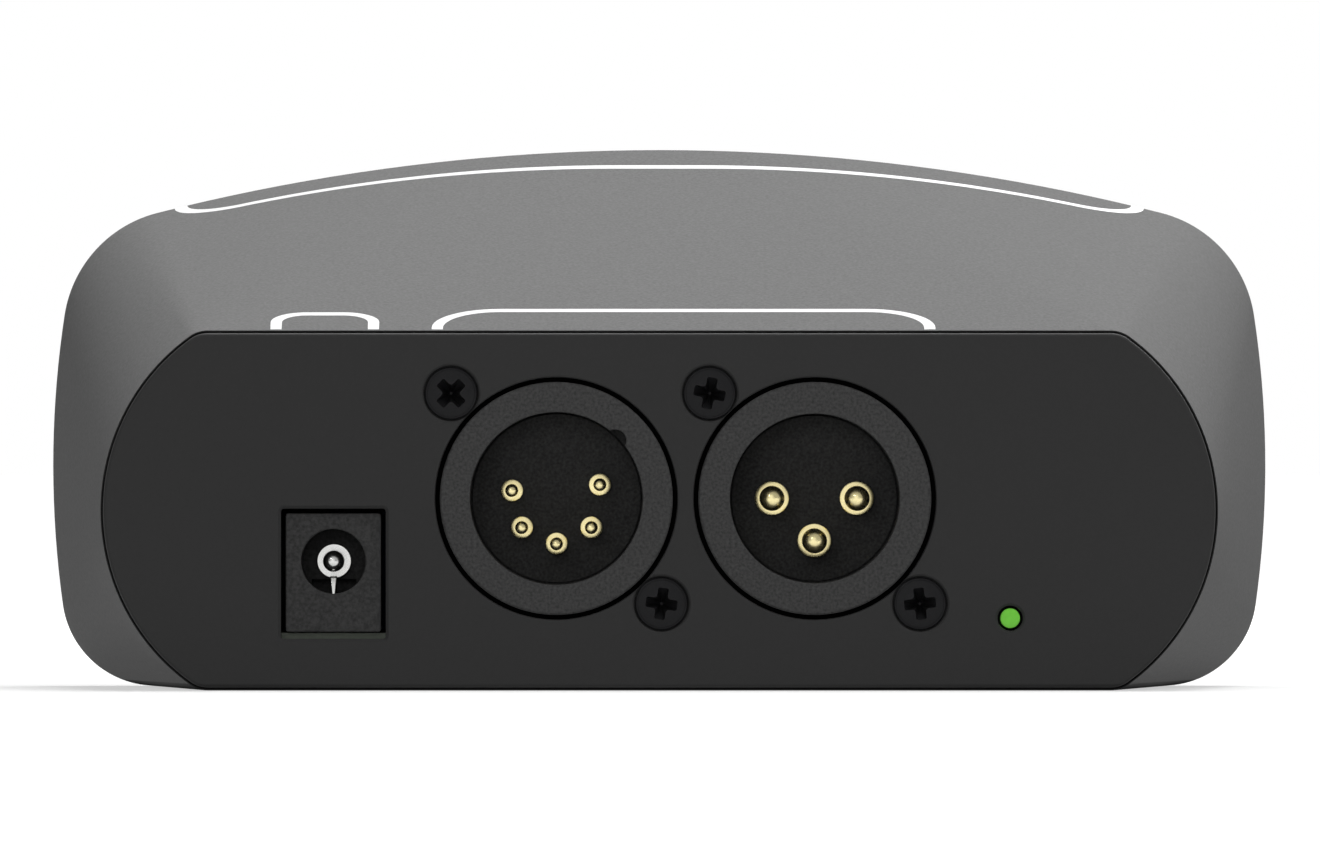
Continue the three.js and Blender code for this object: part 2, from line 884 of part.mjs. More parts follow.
// The latch lever seen from the side: a thumb tab, a web up to the barrel, and an arm with a ramped hook
function latchLever() {
  const x = spread(latch.width);
  const tabFront = -latch.tabProud;
  const armTop = tabBottom + latch.armThickness;
  const hookFront = latch.armDepth - latch.hookThickness;
  const side = new THREE.Shape([
    new THREE.Vector2(tabFront, tabBottom),
    new THREE.Vector2(hookFront - latch.hookRamp, tabBottom),
    new THREE.Vector2(hookFront, hookBottom),
    new THREE.Vector2(latch.armDepth, hookBottom),
    new THREE.Vector2(latch.armDepth, armTop),
    new THREE.Vector2(latch.pivotDepth + latch.pivotRadius, armTop),
    new THREE.Vector2(latch.pivotDepth, pivotHeight),
    new THREE.Vector2(tabFront + latch.tabThickness, tabTop),
    new THREE.Vector2(tabFront, tabTop),
  ]);
  const place = { y: latch.pivotDepth, z: pivotHeight };
  const barrel = bar('x', place, latch.pivotRadius, x, screwSides);
  const axle = bar('x', place, latch.axleRadius, spread(latch.width + 2 * latch.axleLength), screwSides);
  return join(extrudeX(side, x), barrel, axle);
}

// Power jack, drawn about the axis of its bore with its face at y = 0

function jackHousing() {
  const shell = box({
    x: spread(jack.width),
    y: [0, jack.length],
    z: [-jack.boreHeight, jack.height - jack.boreHeight],
  });
  const bore = bar('y', {}, jack.boreDiameter / 2, [-overrun, jack.boreDepth], insertSides);
  const pinSeat = bar('y', {}, jack.pinDiameter / 2 + threadGap, [0, jack.length + overrun], pinSides);
  const leafSeat = box({
    x: spread(jack.leafWidth + 2 * threadGap),
    y: [jack.boreDepth - overrun, jack.length + overrun],
    z: [-jack.leafRoot - jack.leafThickness - threadGap, threadGap - jack.leafRoot],
  });
  return cut(shell, bore, pinSeat, leafSeat);
}

function jackPin() {
  const radius = jack.pinDiameter / 2;
  const profile = [];
  for (let i = 0; i <= domeSteps; i += 1) {
    const angle = Math.PI / 2 * i / domeSteps;
    profile.push([radius * Math.sin(angle), jack.pinSetback + radius * (1 - Math.cos(angle))]);
  }
  profile[0][0] = 0;
  const collarBack = jack.boreDepth - threadGap;
  profile.push([radius, collarBack - jack.pinCollarThickness]);
  profile.push([jack.pinCollarDiameter / 2, collarBack - jack.pinCollarThickness]);
  profile.push([jack.pinCollarDiameter / 2, collarBack]);
  profile.push([radius, collarBack]);
  profile.push([radius, jack.length]);
  profile.push([0, jack.length]);
  return revolve(profile, pinSides);
}

// The leaf that presses on the plug's barrel: it slopes up from its root towards a narrow tip
function jackLeaf() {
  const half = jack.leafWidth / 2;
  const stations = [
    { y: jack.leafSetback, top: -jack.leafTip, half: half / 2 },
    { y: jack.boreDepth, top: -jack.leafRoot, half },
    { y: jack.length, top: -jack.leafRoot, half },
  ];
  return loft(stations.map((station) => ({
    y: station.y,
    points: [
      new THREE.Vector2(-station.half, station.top - jack.leafThickness),
      new THREE.Vector2(station.half, station.top - jack.leafThickness),
      new THREE.Vector2(station.half, station.top),
      new THREE.Vector2(-station.half, station.top),
    ],
  })));
}

// Status light

function lightPipeSolid() {
  const rod = bar('y', {}, lightPipe.diameter / 2, [0, lightPipe.length], screwSides);
  const foot = box({
    x: spread(lightPipe.footWidth),
    y: [lightPipe.length - lightPipe.footLength, lightPipe.length],
    z: [onBoard - lightPipe.height, lightPipe.diameter / 2],
  });
  return join(rod, foot);
}

// Parts on the board, drawn with their underside at z = 0

function chipSolid(size, chamfer) {
  const layers = [[0, chamfer], [size.height / 2, 0], [size.height, chamfer]].map(([level, inset]) => ({
    y: level,
    points: [
      new THREE.Vector2(inset - size.width / 2, inset - size.depth / 2),
      new THREE.Vector2(size.width / 2 - inset, inset - size.depth / 2),
      new THREE.Vector2(size.width / 2 - inset, size.depth / 2 - inset),
      new THREE.Vector2(inset - size.width / 2, size.depth / 2 - inset),
    ],
  }));
  return turned(loft(layers), xAxis, Math.PI / 2);
}

function capacitorSolid() {
  const radius = capacitor.diameter / 2;
  return turned(revolve([
    [0, 0],
    [radius, 0],
    [radius, capacitor.height - capacitor.rim],
    [radius - capacitor.rim, capacitor.height],
    [0, capacitor.height],
  ], bossSides), xAxis, Math.PI / 2);
}

// Materials, one for each kind of surface

function finish(color, roughness, metalness) {
  return new THREE.MeshStandardMaterial({ color, roughness, metalness, flatShading: true });
}

const materials = {
  shellGrey: finish(0x8a8a8a, 0.6, 0),
  panelBlack: finish(0x2f2f30, 0.55, 0),
  connectorBlack: finish(0x3a3a3b, 0.7, 0),
  insertBlack: finish(0x262627, 0.6, 0),
  screwBlack: finish(0x1d1d1e, 0.4, 0.6),
  gold: finish(0xe6c86e, 0.3, 1),
  silver: finish(0xd2d2d2, 0.3, 1),
  steel: finish(0x9a9c9f, 0.35, 1),
  boardGreen: finish(0x2f5a3c, 0.6, 0),
  chipBlack: finish(0x18181a, 0.5, 0),
  canBlue: finish(0x2b3650, 0.4, 0.2),
  lightGreen: finish(0x6abd3e, 0.3, 0),
};

// Assembly

const splitter = new THREE.Group();
splitter.name = 'splitter';

function add(parent, name, geometry, material, place = {}) {
  const mesh = new THREE.Mesh(geometry, material);
  mesh.name = name;
  mesh.position.set(place.x ?? 0, place.y ?? 0, place.z ?? 0);
  parent.add(mesh);
  return mesh;
}

function addGroup(place) {
  const group = new THREE.Group();
  group.position.set(place.x, place.y, place.z);
  group.rotation.z = place.turn ?? 0;
  splitter.add(group);
  return group;
}

function addPanelScrew(group, name, { x, z }, degrees) {
  add(group, name, screwSolid(panelScrew, degrees), materials.screwBlack, { x, y: panelScrew.sunk, z });
}

add(splitter, 'top_shell', topShell(), materials.shellGrey);
add(splitter, 'base_plate', basePlate(), materials.panelBlack);
add(splitter, 'front_panel', frontPanel(), materials.panelBlack);
add(splitter, 'rear_panel', rearPanel(), materials.panelBlack);
add(splitter, 'circuit_board', circuitBoard(), materials.boardGreen);

inputSockets.forEach((socket, i) => {
  const { male } = socket;
  const group = addGroup(socket);
  const prefix = `input_${male.pinAngles.length}pin`;
  add(group, `${prefix}_housing`, maleHousing(male), materials.connectorBlack);
  for (const pin of pinPlaces(male)) {
    add(group, `${prefix}_${pin.name}`, maleContact(male, pin), materials.gold, { x: pin.x, z: pin.z });
  }
  screwPlaces.forEach((place, k) => {
    addPanelScrew(group, `${prefix}_screw_${place.name}`, place, inputScrewTurns[2 * i + k]);
  });
});

outputSockets.forEach((socket, i) => {
  const group = addGroup(socket);
  const prefix = `output_${i + 1}`;
  add(group, `${prefix}_housing`, femaleHousing(), materials.connectorBlack);
  add(group, `${prefix}_insert`, femaleInsert(), materials.insertBlack);
  add(group, `${prefix}_latch_lever`, latchLever(), materials.steel);
  screwPlaces.forEach((place) => addPanelScrew(group, `${prefix}_screw_${place.name}`, place, 0));
});

for (const place of bossPlaces) {
  const screw = add(splitter, `base_screw_${place.name}`, screwSolid(baseScrew, 0), materials.screwBlack);
  screw.position.set(place.x, place.y, baseScrew.sunk);
  screw.rotation.x = Math.PI / 2;
}

const jackY = frontFaceY + jack.setback;
const jackGroup = addGroup({ x: jack.x, y: jackY, z: onBoard + jack.boreHeight });
add(jackGroup, 'dc_jack_housing', jackHousing(), materials.connectorBlack);
add(jackGroup, 'dc_jack_center_pin', jackPin(), materials.silver);
add(jackGroup, 'dc_jack_spring_contact', jackLeaf(), materials.silver);

const ledY = frontFaceY + lightPipe.length + fitGap;
add(splitter, 'light_pipe', lightPipeSolid(), materials.lightGreen, {
  x: lightPipe.x,
  y: frontFaceY,
  z: lightPipe.height,
});
const ledSolid = box({ x: spread(led.width), y: [0, led.length], z: [0, led.height] });
add(splitter, 'power_led', ledSolid, materials.lightGreen, { x: lightPipe.x, y: ledY, z: onBoard });

const capacitorY = jackY + jack.length + capacitor.gap + capacitor.diameter / 2;
add(splitter, 'bulk_capacitor', capacitorSolid(), materials.canBlue, {
  x: capacitor.x,
  y: capacitorY,
  z: onBoard,
});

// Behind the inputs' contacts and the capacitor stand a row of line drivers and a row of converters, one of
// each for every output
const contactsEnd = frontFaceY + tailDepth(male3, 1) + male3.pinDiameter / 2;
const chipY = Math.max(contactsEnd, capacitorY + capacitor.diameter / 2) + chip.gap + chip.depth / 2;
const converterY = chipY + chip.depth / 2 + converter.gap + converter.depth / 2;
for (let i = 0; i < outputCount; i += 1) {
  const x = (i - (outputCount - 1) / 2) * -converter.pitch;
  const driver = chipSolid(chip, chip.chamfer);
  const block = chipSolid(converter, 0);
  add(splitter, `line_driver_${i + 1}`, driver, materials.chipBlack, { x, y: chipY, z: onBoard });
  add(splitter, `converter_${i + 1}`, block, materials.chipBlack, { x, y: converterY, z: onBoard });
}
add(splitter, 'line_receiver', chipSolid(receiver, chip.chamfer), materials.chipBlack, {
  x: receiver.x,
  y: ledY + led.length + receiver.gap + receiver.depth / 2,
  z: onBoard,
});

export default splitter;
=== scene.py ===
"""A desk-top splitter for stage-lighting signals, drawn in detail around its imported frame.

Lengths are in millimetres, and as_object turns them into the scene's metres. Every connector is
drawn about its own axis with its face at y = 0 and its depth along +Y, as are the screws.
"""

import json
import math

import bmesh
import bpy
from mathutils import Matrix, Vector

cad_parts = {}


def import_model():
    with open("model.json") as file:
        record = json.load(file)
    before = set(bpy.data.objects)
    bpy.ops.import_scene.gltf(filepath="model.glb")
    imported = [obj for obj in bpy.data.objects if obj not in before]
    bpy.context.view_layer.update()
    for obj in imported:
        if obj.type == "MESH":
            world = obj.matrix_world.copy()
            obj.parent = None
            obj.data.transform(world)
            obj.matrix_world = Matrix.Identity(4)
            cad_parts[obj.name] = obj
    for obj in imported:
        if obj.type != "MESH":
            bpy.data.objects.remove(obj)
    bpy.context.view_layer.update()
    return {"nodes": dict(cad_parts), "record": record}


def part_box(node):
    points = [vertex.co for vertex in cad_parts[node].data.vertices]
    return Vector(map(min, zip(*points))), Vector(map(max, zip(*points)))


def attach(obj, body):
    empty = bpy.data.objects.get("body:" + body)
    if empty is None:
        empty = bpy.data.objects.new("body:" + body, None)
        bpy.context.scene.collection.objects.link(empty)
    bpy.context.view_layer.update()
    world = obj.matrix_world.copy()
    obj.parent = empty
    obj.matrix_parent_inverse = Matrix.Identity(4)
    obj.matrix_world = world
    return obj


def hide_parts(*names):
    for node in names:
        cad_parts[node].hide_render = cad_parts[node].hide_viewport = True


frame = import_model()
nodes = frame["nodes"]

MM = 0.001


def node_box(node):
    low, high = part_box(node)
    return low / MM, high / MM


# Measured on the frame
front_low, front_high = node_box("front_panel")
shell_low, shell_high = node_box("top_shell")
base_low, base_high = node_box("base_plate")
jack_low, jack_high = node_box("dc_jack_housing")
pipe_low, pipe_high = node_box("light_pipe")
front_face = front_low.y
rear_face = node_box("rear_panel")[1].y

# How far a cutting solid reaches past what it cuts
OVERRUN = 1.0
# How far touching pieces overlap or stay apart, so that no two faces share a plane
HAIR = 0.02
# A rounded edge drawn as two flats bends at this share of its width
EDGE_BEND = 0.3
SHARP_CORNER = 0.2
ROUND_STEPS = 3

# Housing and end panels
WALL = 2.2
SHELL_EDGE = 0.25
FIT_GAP = 0.3
PANEL_THICKNESS = 2.7
FACE_THICKNESS = 1.0
FACE_INSET = 0.3
FACE_ROUNDING = 0.36
EDGE_INSET = 0.05
SEAM_DEPTH = 2.3
SEAM_INSET = 0.13
SEAT = PANEL_THICKNESS + FIT_GAP - HAIR
LIP_THICKNESS = 1.0
LIP_DEPTH = 2.5
LIP_OPENING = 76.0
CUTOUT_CHAMFER = 0.28
OPENING_CORNER = 0.4
BASE_CORNER = 4.0
BASE_EDGE = 0.2

front_height = front_high.z - front_low.z + 2 * EDGE_INSET
FRONT_OUTLINE = {
    "width": front_high.x - front_low.x + 2 * EDGE_INSET,
    "height": front_height,
    "widest": front_height / 2,
    "side": 20.3,
    "crown": None,
    "top_corner": 3.0,
    "bottom_corner": 3.0,
}
REAR_OUTLINE = {
    "width": shell_high.x - shell_low.x,
    "height": shell_high.z - shell_low.z,
    "widest": 21.19,
    "side": 96.8,
    "crown": 196.0,
    "top_corner": 12.0,
    "bottom_corner": 9.0,
}
OUTLINE_ERROR = 0.004
LOFT_STEPS = 8

# Connectors
AXIS_HEIGHT = 18.13
RING = 11.0
RING_GAP = 0.43
RING_EDGE = 0.28
RING_SIDES = 128
SCREW_OFFSET = 9.93
FLANGE_HALF = 11.9
FLANGE_ABOVE = 12.4
FLANGE_THICKNESS = 2.0
FOOT_HALF = 8.0
FOOT_HEIGHT = 6.0
BOARD_TOP = 5.43
FLOOR_THICKNESS = 3.0
# How far the painted shade sheet behind a connector's gap reaches past the gap
GAP_SHADE_REACH = 0.3

# Inputs, by their number of contacts
MALE = {
    5: {"cavity": 8.15, "depth": 13.5, "pin": 0.6, "collar": 1.06, "key_angle": 44.5},
    3: {"cavity": 8.0, "depth": 13.5, "pin": 1.175, "collar": 1.625, "key_angle": None},
}
MOUTH_EDGE = 0.16
KEY_RADIUS = 1.05
KEY_REACH = 0.68
GROOVE_WIDTH = 0.2
GROOVE_DEPTH = 1.0
PIN_SETBACK = 2.0
COLLAR_THICKNESS = 1.0
COLLAR_EDGE = 0.09

# Outputs
OUTPUTS = range(1, 5)
BORE = 9.5
BORE_DEPTH = 14.5
BORE_EDGE = 0.3
INSERT = 7.6
INSERT_SETBACK = 1.0
INSERT_EDGE = 0.4
RIB_HALF = 0.7
RIB_REACH = 0.6
CONTACT_CIRCLE = 4.3
CONTACT_ANGLES = (17.5, -40, -90, -140, 170)
CONTACT_HOLE = 0.95
CONTACT_CHAMFER = 0.12
CONTACT_BORE = 0.62
CONTACT_DEPTH = 11
SLEEVE_SETBACK = 0.35
SLEEVE_EDGE = 0.1

# Latch tower of an output. Pairs are (y, z) points, or a range along y
TOWER_HALF = 6.1
TOWER_TOP = 17.2
TOWER_CORNER = 0.8
WINDOW_HALF = 3.8
WINDOW_BOTTOM = 10.05
WINDOW_TOP = 14.4
WINDOW_EDGE = 0.14
WELL_START = 0.8
WELL_DEPTH = 11.3
HOOK_SLOT = (6.5, 11.3)
PIVOT = (2.4, 14.6)
BARREL = 1.3
AXLE = 0.8
AXLE_REACH = 4.5

# Screws
PANEL_SCREW = {"head": 2.5, "height": 1.5, "rim": 0.3, "sunk": 0.2, "shank": 1.4, "length": 9.0}
BASE_SCREW = {"head": 2.7, "height": 1.6, "rim": 0.3, "sunk": 0.4, "shank": 1.5, "length": 15.0}
CROSS_REACH = 1.5
CROSS_WIDTH = 1.0
CROSS_DEPTH = 2.7
THREAD_GAP = 0.15
HEAD_CHAMFER = 0.16
SCREW_SIDES = 48
SCREW_TURNS = {
    "input_5pin_screw_upper": 45,
    "input_5pin_screw_lower": 8,
    "input_3pin_screw_upper": 12,
    "input_3pin_screw_lower": -6,
}

# Power jack and status light
JACK_SIDE_GAP = 0.45
JACK_LOWER_GAP = 0.85
JACK_OPENING_CORNER = 0.3
JACK_AXIS = 6.47
PIPE_RADIUS = 0.975
PIPE_GAP = 0.22
PIPE_CHAMFER = 0.22
pipe_centre = ((pipe_low.x + pipe_high.x) / 2, pipe_high.z - PIPE_RADIUS)

# Printed lines
LINE_WIDTH = 1.2
NARROW_LINE = LINE_WIDTH * 0.88
PRINT_MARGIN = 0.25


def srgb(*levels):
    """A colour written in levels from 0 to 255, as the linear values that shaders take."""
    shares = [level / 255 for level in levels]
    return [s / 12.92 if s <= 0.04045 else ((s + 0.055) / 1.055) ** 2.4 for s in shares]


def grey(level):
    return srgb(level, level, level)


# Meshes. A solid is (vertices, faces), and a loop gives (x, z) points round an axis along Y


def merge(*solids):
    vertices, faces = [], []
    for more_vertices, more_faces in solids:
        start = len(vertices)
        vertices += [Vector(v) for v in more_vertices]
        faces += [[i + start for i in face] for face in more_faces]
    return vertices, faces


def placed(solid, matrix):
    return [matrix @ Vector(v) for v in solid[0]], solid[1]


def link(name, mesh):
    obj = bpy.data.objects.new(name, mesh)
    bpy.context.scene.collection.objects.link(obj)
    return obj


def as_object(name, solid):
    mesh = bpy.data.meshes.new(name)
    mesh.from_pydata([Vector(v) * MM for v in solid[0]], [], solid[1])
    tool = bmesh.new()
    tool.from_mesh(mesh)
    bmesh.ops.remove_doubles(tool, verts=tool.verts, dist=1e-7)
    bmesh.ops.recalc_face_normals(tool, faces=tool.faces)
    tool.to_mesh(mesh)
    tool.free()
    return link(name, mesh)


def move_to(obj, x, y, z):
    obj.location = Vector((x, y, z)) * MM


def rows_to_solid(rows, capped=True, closed=False):
    """A skin over rows of equally many points. Its ends are capped, or the last joins the first."""
    count = len(rows[0])
    vertices = [p for row in rows for p in row]
    faces = []
    for r in range(len(rows) if closed else len(rows) - 1):
        a, b = r * count, (r + 1) % len(rows) * count
        for i in range(count):
            j = (i + 1) % count
            faces.append([a + i, a + j, b + j, b + i])
    if capped and not closed:
        faces.append(list(range(count))[::-1])
        faces.append([(len(rows) - 1) * count + i for i in range(count)])
    return vertices, faces


def box(x, y, z):
    corners = [(x[i], y[j], z[k]) for i in (0, 1) for j in (0, 1) for k in (0, 1)]
    sides = [[0, 1, 3, 2], [4, 6, 7, 5], [0, 4, 5, 1], [2, 3, 7, 6], [0, 2, 6, 4], [1, 5, 7, 3]]
    return corners, sides


def circle(radius, sides, centre=(0, 0)):
    turn = 2 * math.pi / sides
    return [(centre[0] + radius * math.cos(i * turn), centre[1] + radius * math.sin(i * turn))
            for i in range(sides)]


def sections(loop, profile):
    """Rows of points: loop(size) at each of the profile's (y, size) pairs."""
    return [[(x, y, z) for x, z in loop(size)] for y, size in profile]


def rings(profile, sides, centre):
    return sections(lambda radius: circle(radius, sides, centre), [(y, r) for r, y in profile])


def lathe(profile, sides, centre=(0, 0)):
    """(radius, y) points turned about an axis along Y. They start and end on the axis."""
    inner = profile[1:-1]
    vertices, faces = rows_to_solid(rings(inner, sides, centre), capped=False)
    for pole, row in ((profile[0][1], 0), (profile[-1][1], len(inner) - 1)):
        vertices.append((centre[0], pole, centre[1]))
        for i in range(sides):
            faces.append([len(vertices) - 1, row * sides + i, row * sides + (i + 1) % sides])
    return vertices, faces


def rounding(y, inset, radius, steps=ROUND_STEPS):
    """Pairs (y, inset) that round an edge, from the face, at y, to the side, at this inset."""
    rows = []
    for i in range(steps + 1):
        angle = math.pi / 2 * i / steps
        rows.append((y + radius * (1 - math.cos(angle)), inset + radius * (1 - math.sin(angle))))
    return rows


def prism(loop, profile):
    """The solid whose sections are loop(inset) at the profile's (y, inset) pairs."""
    return rows_to_solid(sections(loop, profile))


def frame_round(loop, inner, outer, start, end):
    """A frame between two insets of a loop, from start to end along y."""
    corners = ((start, inner), (end, inner), (end, outer), (start, outer))
    return rows_to_solid(sections(loop, corners), closed=True)


def along_x(outline, reach):
    """An outline of (y, z) points drawn out along X, as far to each side of the middle."""
    return rows_to_solid([[(x, y, z) for y, z in outline] for x in (-reach, reach)])


def hole(radius, edge, depth, sides, centre=(0, 0), rounded=False, flare=0):
    """What a round hole takes out of a face. Its mouth is wider by the edge."""
    profile = [(0, -OVERRUN), (radius + edge + flare, -OVERRUN), (radius + edge, 0)]
    if rounded:
        profile.append((radius + edge * EDGE_BEND, edge * EDGE_BEND))
    return lathe(profile + [(radius, edge), (radius, depth), (0, depth)], sides, centre)


def opening(loop, edge, depth):
    """What an opening of any outline takes out of a face. Its mouth is wider by the edge."""
    return prism(loop, [(-OVERRUN, -edge), (0, -edge), (edge, 0), (depth, 0)])


def join_meshes(obj, operation, tools):
    """Cuts or joins obj with solids, one after another, and keeps the result as plain mesh."""
    helpers = [as_object(f"{obj.name}_tool", tool) for tool in tools]
    for helper in helpers:
        change = obj.modifiers.new("shape", "BOOLEAN")
        change.operation = operation
        change.solver = "EXACT"
        change.object = helper
    bpy.context.view_layer.update()
    evaluated = obj.evaluated_get(bpy.context.evaluated_depsgraph_get())
    result = bpy.data.meshes.new_from_object(evaluated)
    obj.modifiers.clear()
    obj.data = result
    for helper in helpers:
        bpy.data.objects.remove(helper)


def shade(obj, degrees=34):
    """Smooth shading that breaks at edges sharper than this, and keeps flat faces flat."""
    obj.data.shade_smooth()
    obj.data.set_sharp_from_angle(angle=math.radians(degrees))
    keep = obj.modifiers.new("flat_faces", "WEIGHTED_NORMAL")
    keep.keep_sharp = True
    keep.weight = 100
    return obj


def soften(obj, width):
    """Small round edges on a solid whose edges are sharp."""
    bevel = obj.modifiers.new("edges", "BEVEL")
    bevel.width = width * MM
    bevel.segments = 2
    bevel.limit_method = "ANGLE"
    bevel.angle_limit = math.radians(40)
    bevel.harden_normals = False
    return obj


def turn_about(axis, degrees):
    return Matrix.Rotation(math.radians(degrees), 4, axis)


# Materials


def new_material(name):
    material = bpy.data.materials.new(name)
    material.use_nodes = True
    tree = material.node_tree
    return material, tree, tree.nodes["Principled BSDF"]


def compute(tree, operation, *values):
    """The result of a Math node. Each value is a number or another node's output."""
    node = tree.nodes.new("ShaderNodeMath")
    node.operation = operation
    for value, target in zip(values, node.inputs):
        if isinstance(value, bpy.types.NodeSocket):
            tree.links.new(value, target)
        else:
            target.default_value = value
    return node.outputs["Value"]


def map_range(tree, value, start, end, low, high):
    """A value that runs from low to high as another one runs from start to end."""
    node = tree.nodes.new("ShaderNodeMapRange")
    ranges = {"From Min": start, "From Max": end, "To Min": low, "To Max": high}
    for name, number in ranges.items():
        node.inputs[name].default_value = number
    tree.links.new(value, node.inputs["Value"])
    return node.outputs["Result"]


def noise(tree, size, detail=2.0):
    """Noise whose features are about this many millimetres wide, in the piece's coordinates."""
    place = tree.nodes.new("ShaderNodeTexCoord")
    texture = tree.nodes.new("ShaderNodeTexNoise")
    texture.inputs["Scale"].default_value = 1 / (size * MM)
    texture.inputs["Detail"].default_value = detail
    tree.links.new(place.outputs["Object"], texture.inputs["Vector"])
    return texture.outputs["Fac"]


def between(tree, factor, low, high):
    """A value that runs from low to high as a noise runs through its middle range."""
    return map_range(tree, factor, 0.3, 0.7, low, high)


def varied(tree, colour, factor, spread):
    """A colour that varies by this share either way."""
    mix = tree.nodes.new("ShaderNodeMix")
    mix.data_type = "RGBA"
    mix.inputs["A"].default_value = (*[c * (1 - spread) for c in colour], 1)
    mix.inputs["B"].default_value = (*[c * (1 + spread) for c in colour], 1)
    tree.links.new(between(tree, factor, 0, 1), mix.inputs["Factor"])
    return mix.outputs["Result"]


def bump(tree, shader, height, depth, strength=1.0):
    node = tree.nodes.new("ShaderNodeBump")
    node.inputs["Strength"].default_value = strength
    node.inputs["Distance"].default_value = depth * MM
    tree.links.new(height, node.inputs["Height"])
    tree.links.new(node.outputs["Normal"], shader.inputs["Normal"])


def plastic(name, colour, roughness, grain, depth, mottle=0.05, specular=0.5):
    """Moulded plastic: fine grain in height and tone, and a slow change of gloss."""
    material, tree, shader = new_material(name)
    fine = noise(tree, grain, 3)
    slow = noise(tree, 14, 1)
    rough = between(tree, slow, roughness - 0.04, roughness + 0.04)
    tree.links.new(varied(tree, colour, fine, mottle), shader.inputs["Base Color"])
    tree.links.new(rough, shader.inputs["Roughness"])
    shader.inputs["Specular IOR Level"].default_value = specular
    bump(tree, shader, fine, depth)
    return material


def metal(name, colour, roughness, scratch=1.1, depth=0.0006):
    """Bare or plated metal with fine marks."""
    material, tree, shader = new_material(name)
    fine = noise(tree, scratch, 2)
    rough = between(tree, fine, roughness - 0.03, roughness + 0.05)
    tree.links.new(varied(tree, colour, fine, 0.04), shader.inputs["Base Color"])
    tree.links.new(rough, shader.inputs["Roughness"])
    shader.inputs["Metallic"].default_value = 1
    bump(tree, shader, fine, depth, 0.6)
    return material


def glowing(name, colour, glow):
    """The tinted pipe of a status light that is on."""
    material, tree, shader = new_material(name)
    body = varied(tree, [c * 0.7 for c in colour], noise(tree, 0.6), 0.08)
    tree.links.new(body, shader.inputs["Base Color"])
    shader.inputs["Roughness"].default_value = 0.35
    shader.inputs["Specular IOR Level"].default_value = 0.2
    shader.inputs["Emission Color"].default_value = (*colour, 1)
    shader.inputs["Emission Strength"].default_value = glow
    return material


def laminate(name):
    """The cut edge and resist of a circuit board, with the weave of its glass cloth."""
    material, tree, shader = new_material(name)
    weave = noise(tree, 0.5, 1)
    tree.links.new(varied(tree, srgb(98, 104, 94), weave, 0.1), shader.inputs["Base Color"])
    tree.links.new(between(tree, weave, 0.42, 0.55), shader.inputs["Roughness"])
    bump(tree, shader, weave, 0.01)
    return material


# Colour, roughness, width and height of the grain in mm, spread of tone, specular level
PLASTICS = {
    "shell_plastic": (grey(105), 0.6, 0.3, 0.022, 0.11, 0),
    "panel_plastic": (grey(46), 0.5, 0.3, 0.002, 0.03, 0.05),
    "connector_plastic": (grey(56), 0.62, 0.28, 0.03, 0.3, 0.05),
    "insert_plastic": (grey(48), 0.55, 0.28, 0.03, 0.3, 0.05),
    "black_screw": (srgb(24, 24, 25), 0.34, 0.3, 0.002, 0.1, 0.1),
    "chip_epoxy": (srgb(28, 28, 30), 0.5, 0.15, 0.006),
    "capacitor_can": (srgb(45, 54, 78), 0.35, 0.5, 0.002),
    # Near-black, as painted shade in the gaps round the connectors and the status light
    "seal_rubber": (grey(9), 0.8, 0.3, 0.002, 0.02, 0),
    "print_white": (grey(206), 0.55, 0.3, 0.002, 0.02, 0.2),
}
# Colour, roughness, width and height of the marks in mm
METALS = {
    "contact_gold": (srgb(250, 236, 180), 0.27),
    "jack_silver": (srgb(222, 222, 220), 0.2),
    "latch_steel": (srgb(140, 142, 146), 0.36, 0.5, 0.001),
}
MATERIALS = {
    "board_laminate": laminate("board_laminate"),
    "status_light": glowing("status_light", srgb(106, 189, 62), 0.22),
}
MATERIALS.update({name: plastic(name, *look) for name, look in PLASTICS.items()})
MATERIALS.update({name: metal(name, *look) for name, look in METALS.items()})


def dress(obj, slot, replaced=(), body="root", material=None):
    """Gives a finished piece its material, its frame body and the CAD nodes it stands for."""
    obj.data.materials.clear()
    obj.data.materials.append(MATERIALS[material or slot])
    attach(obj, body)
    if replaced:
        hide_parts(*replaced)


# Outlines of the housing, in x and z


def arc(centre, radius, start, end, steps):
    angles = [start + (end - start) * i / steps for i in range(steps + 1)]
    return [(centre[0] + radius * math.cos(a), centre[1] + radius * math.sin(a)) for a in angles]


def meeting_point(a, distance_a, b, distance_b):
    """The point right of the line from a to b that lies at these distances from them."""
    apart = math.dist(a, b)
    along = (distance_a**2 - distance_b**2 + apart**2) / (2 * apart)
    across = math.sqrt(distance_a**2 - along**2)
    unit = ((b[0] - a[0]) / apart, (b[1] - a[1]) / apart)
    return (a[0] + unit[0] * along + unit[1] * across, a[1] + unit[1] * along - unit[0] * across)


def corner_centre(side, side_radius, radius, z):
    return (side[0] + math.sqrt((side_radius - radius) ** 2 - (z - side[1]) ** 2), z)


def angle_from(centre, point):
    return math.atan2(point[1] - centre[1], point[0] - centre[0])


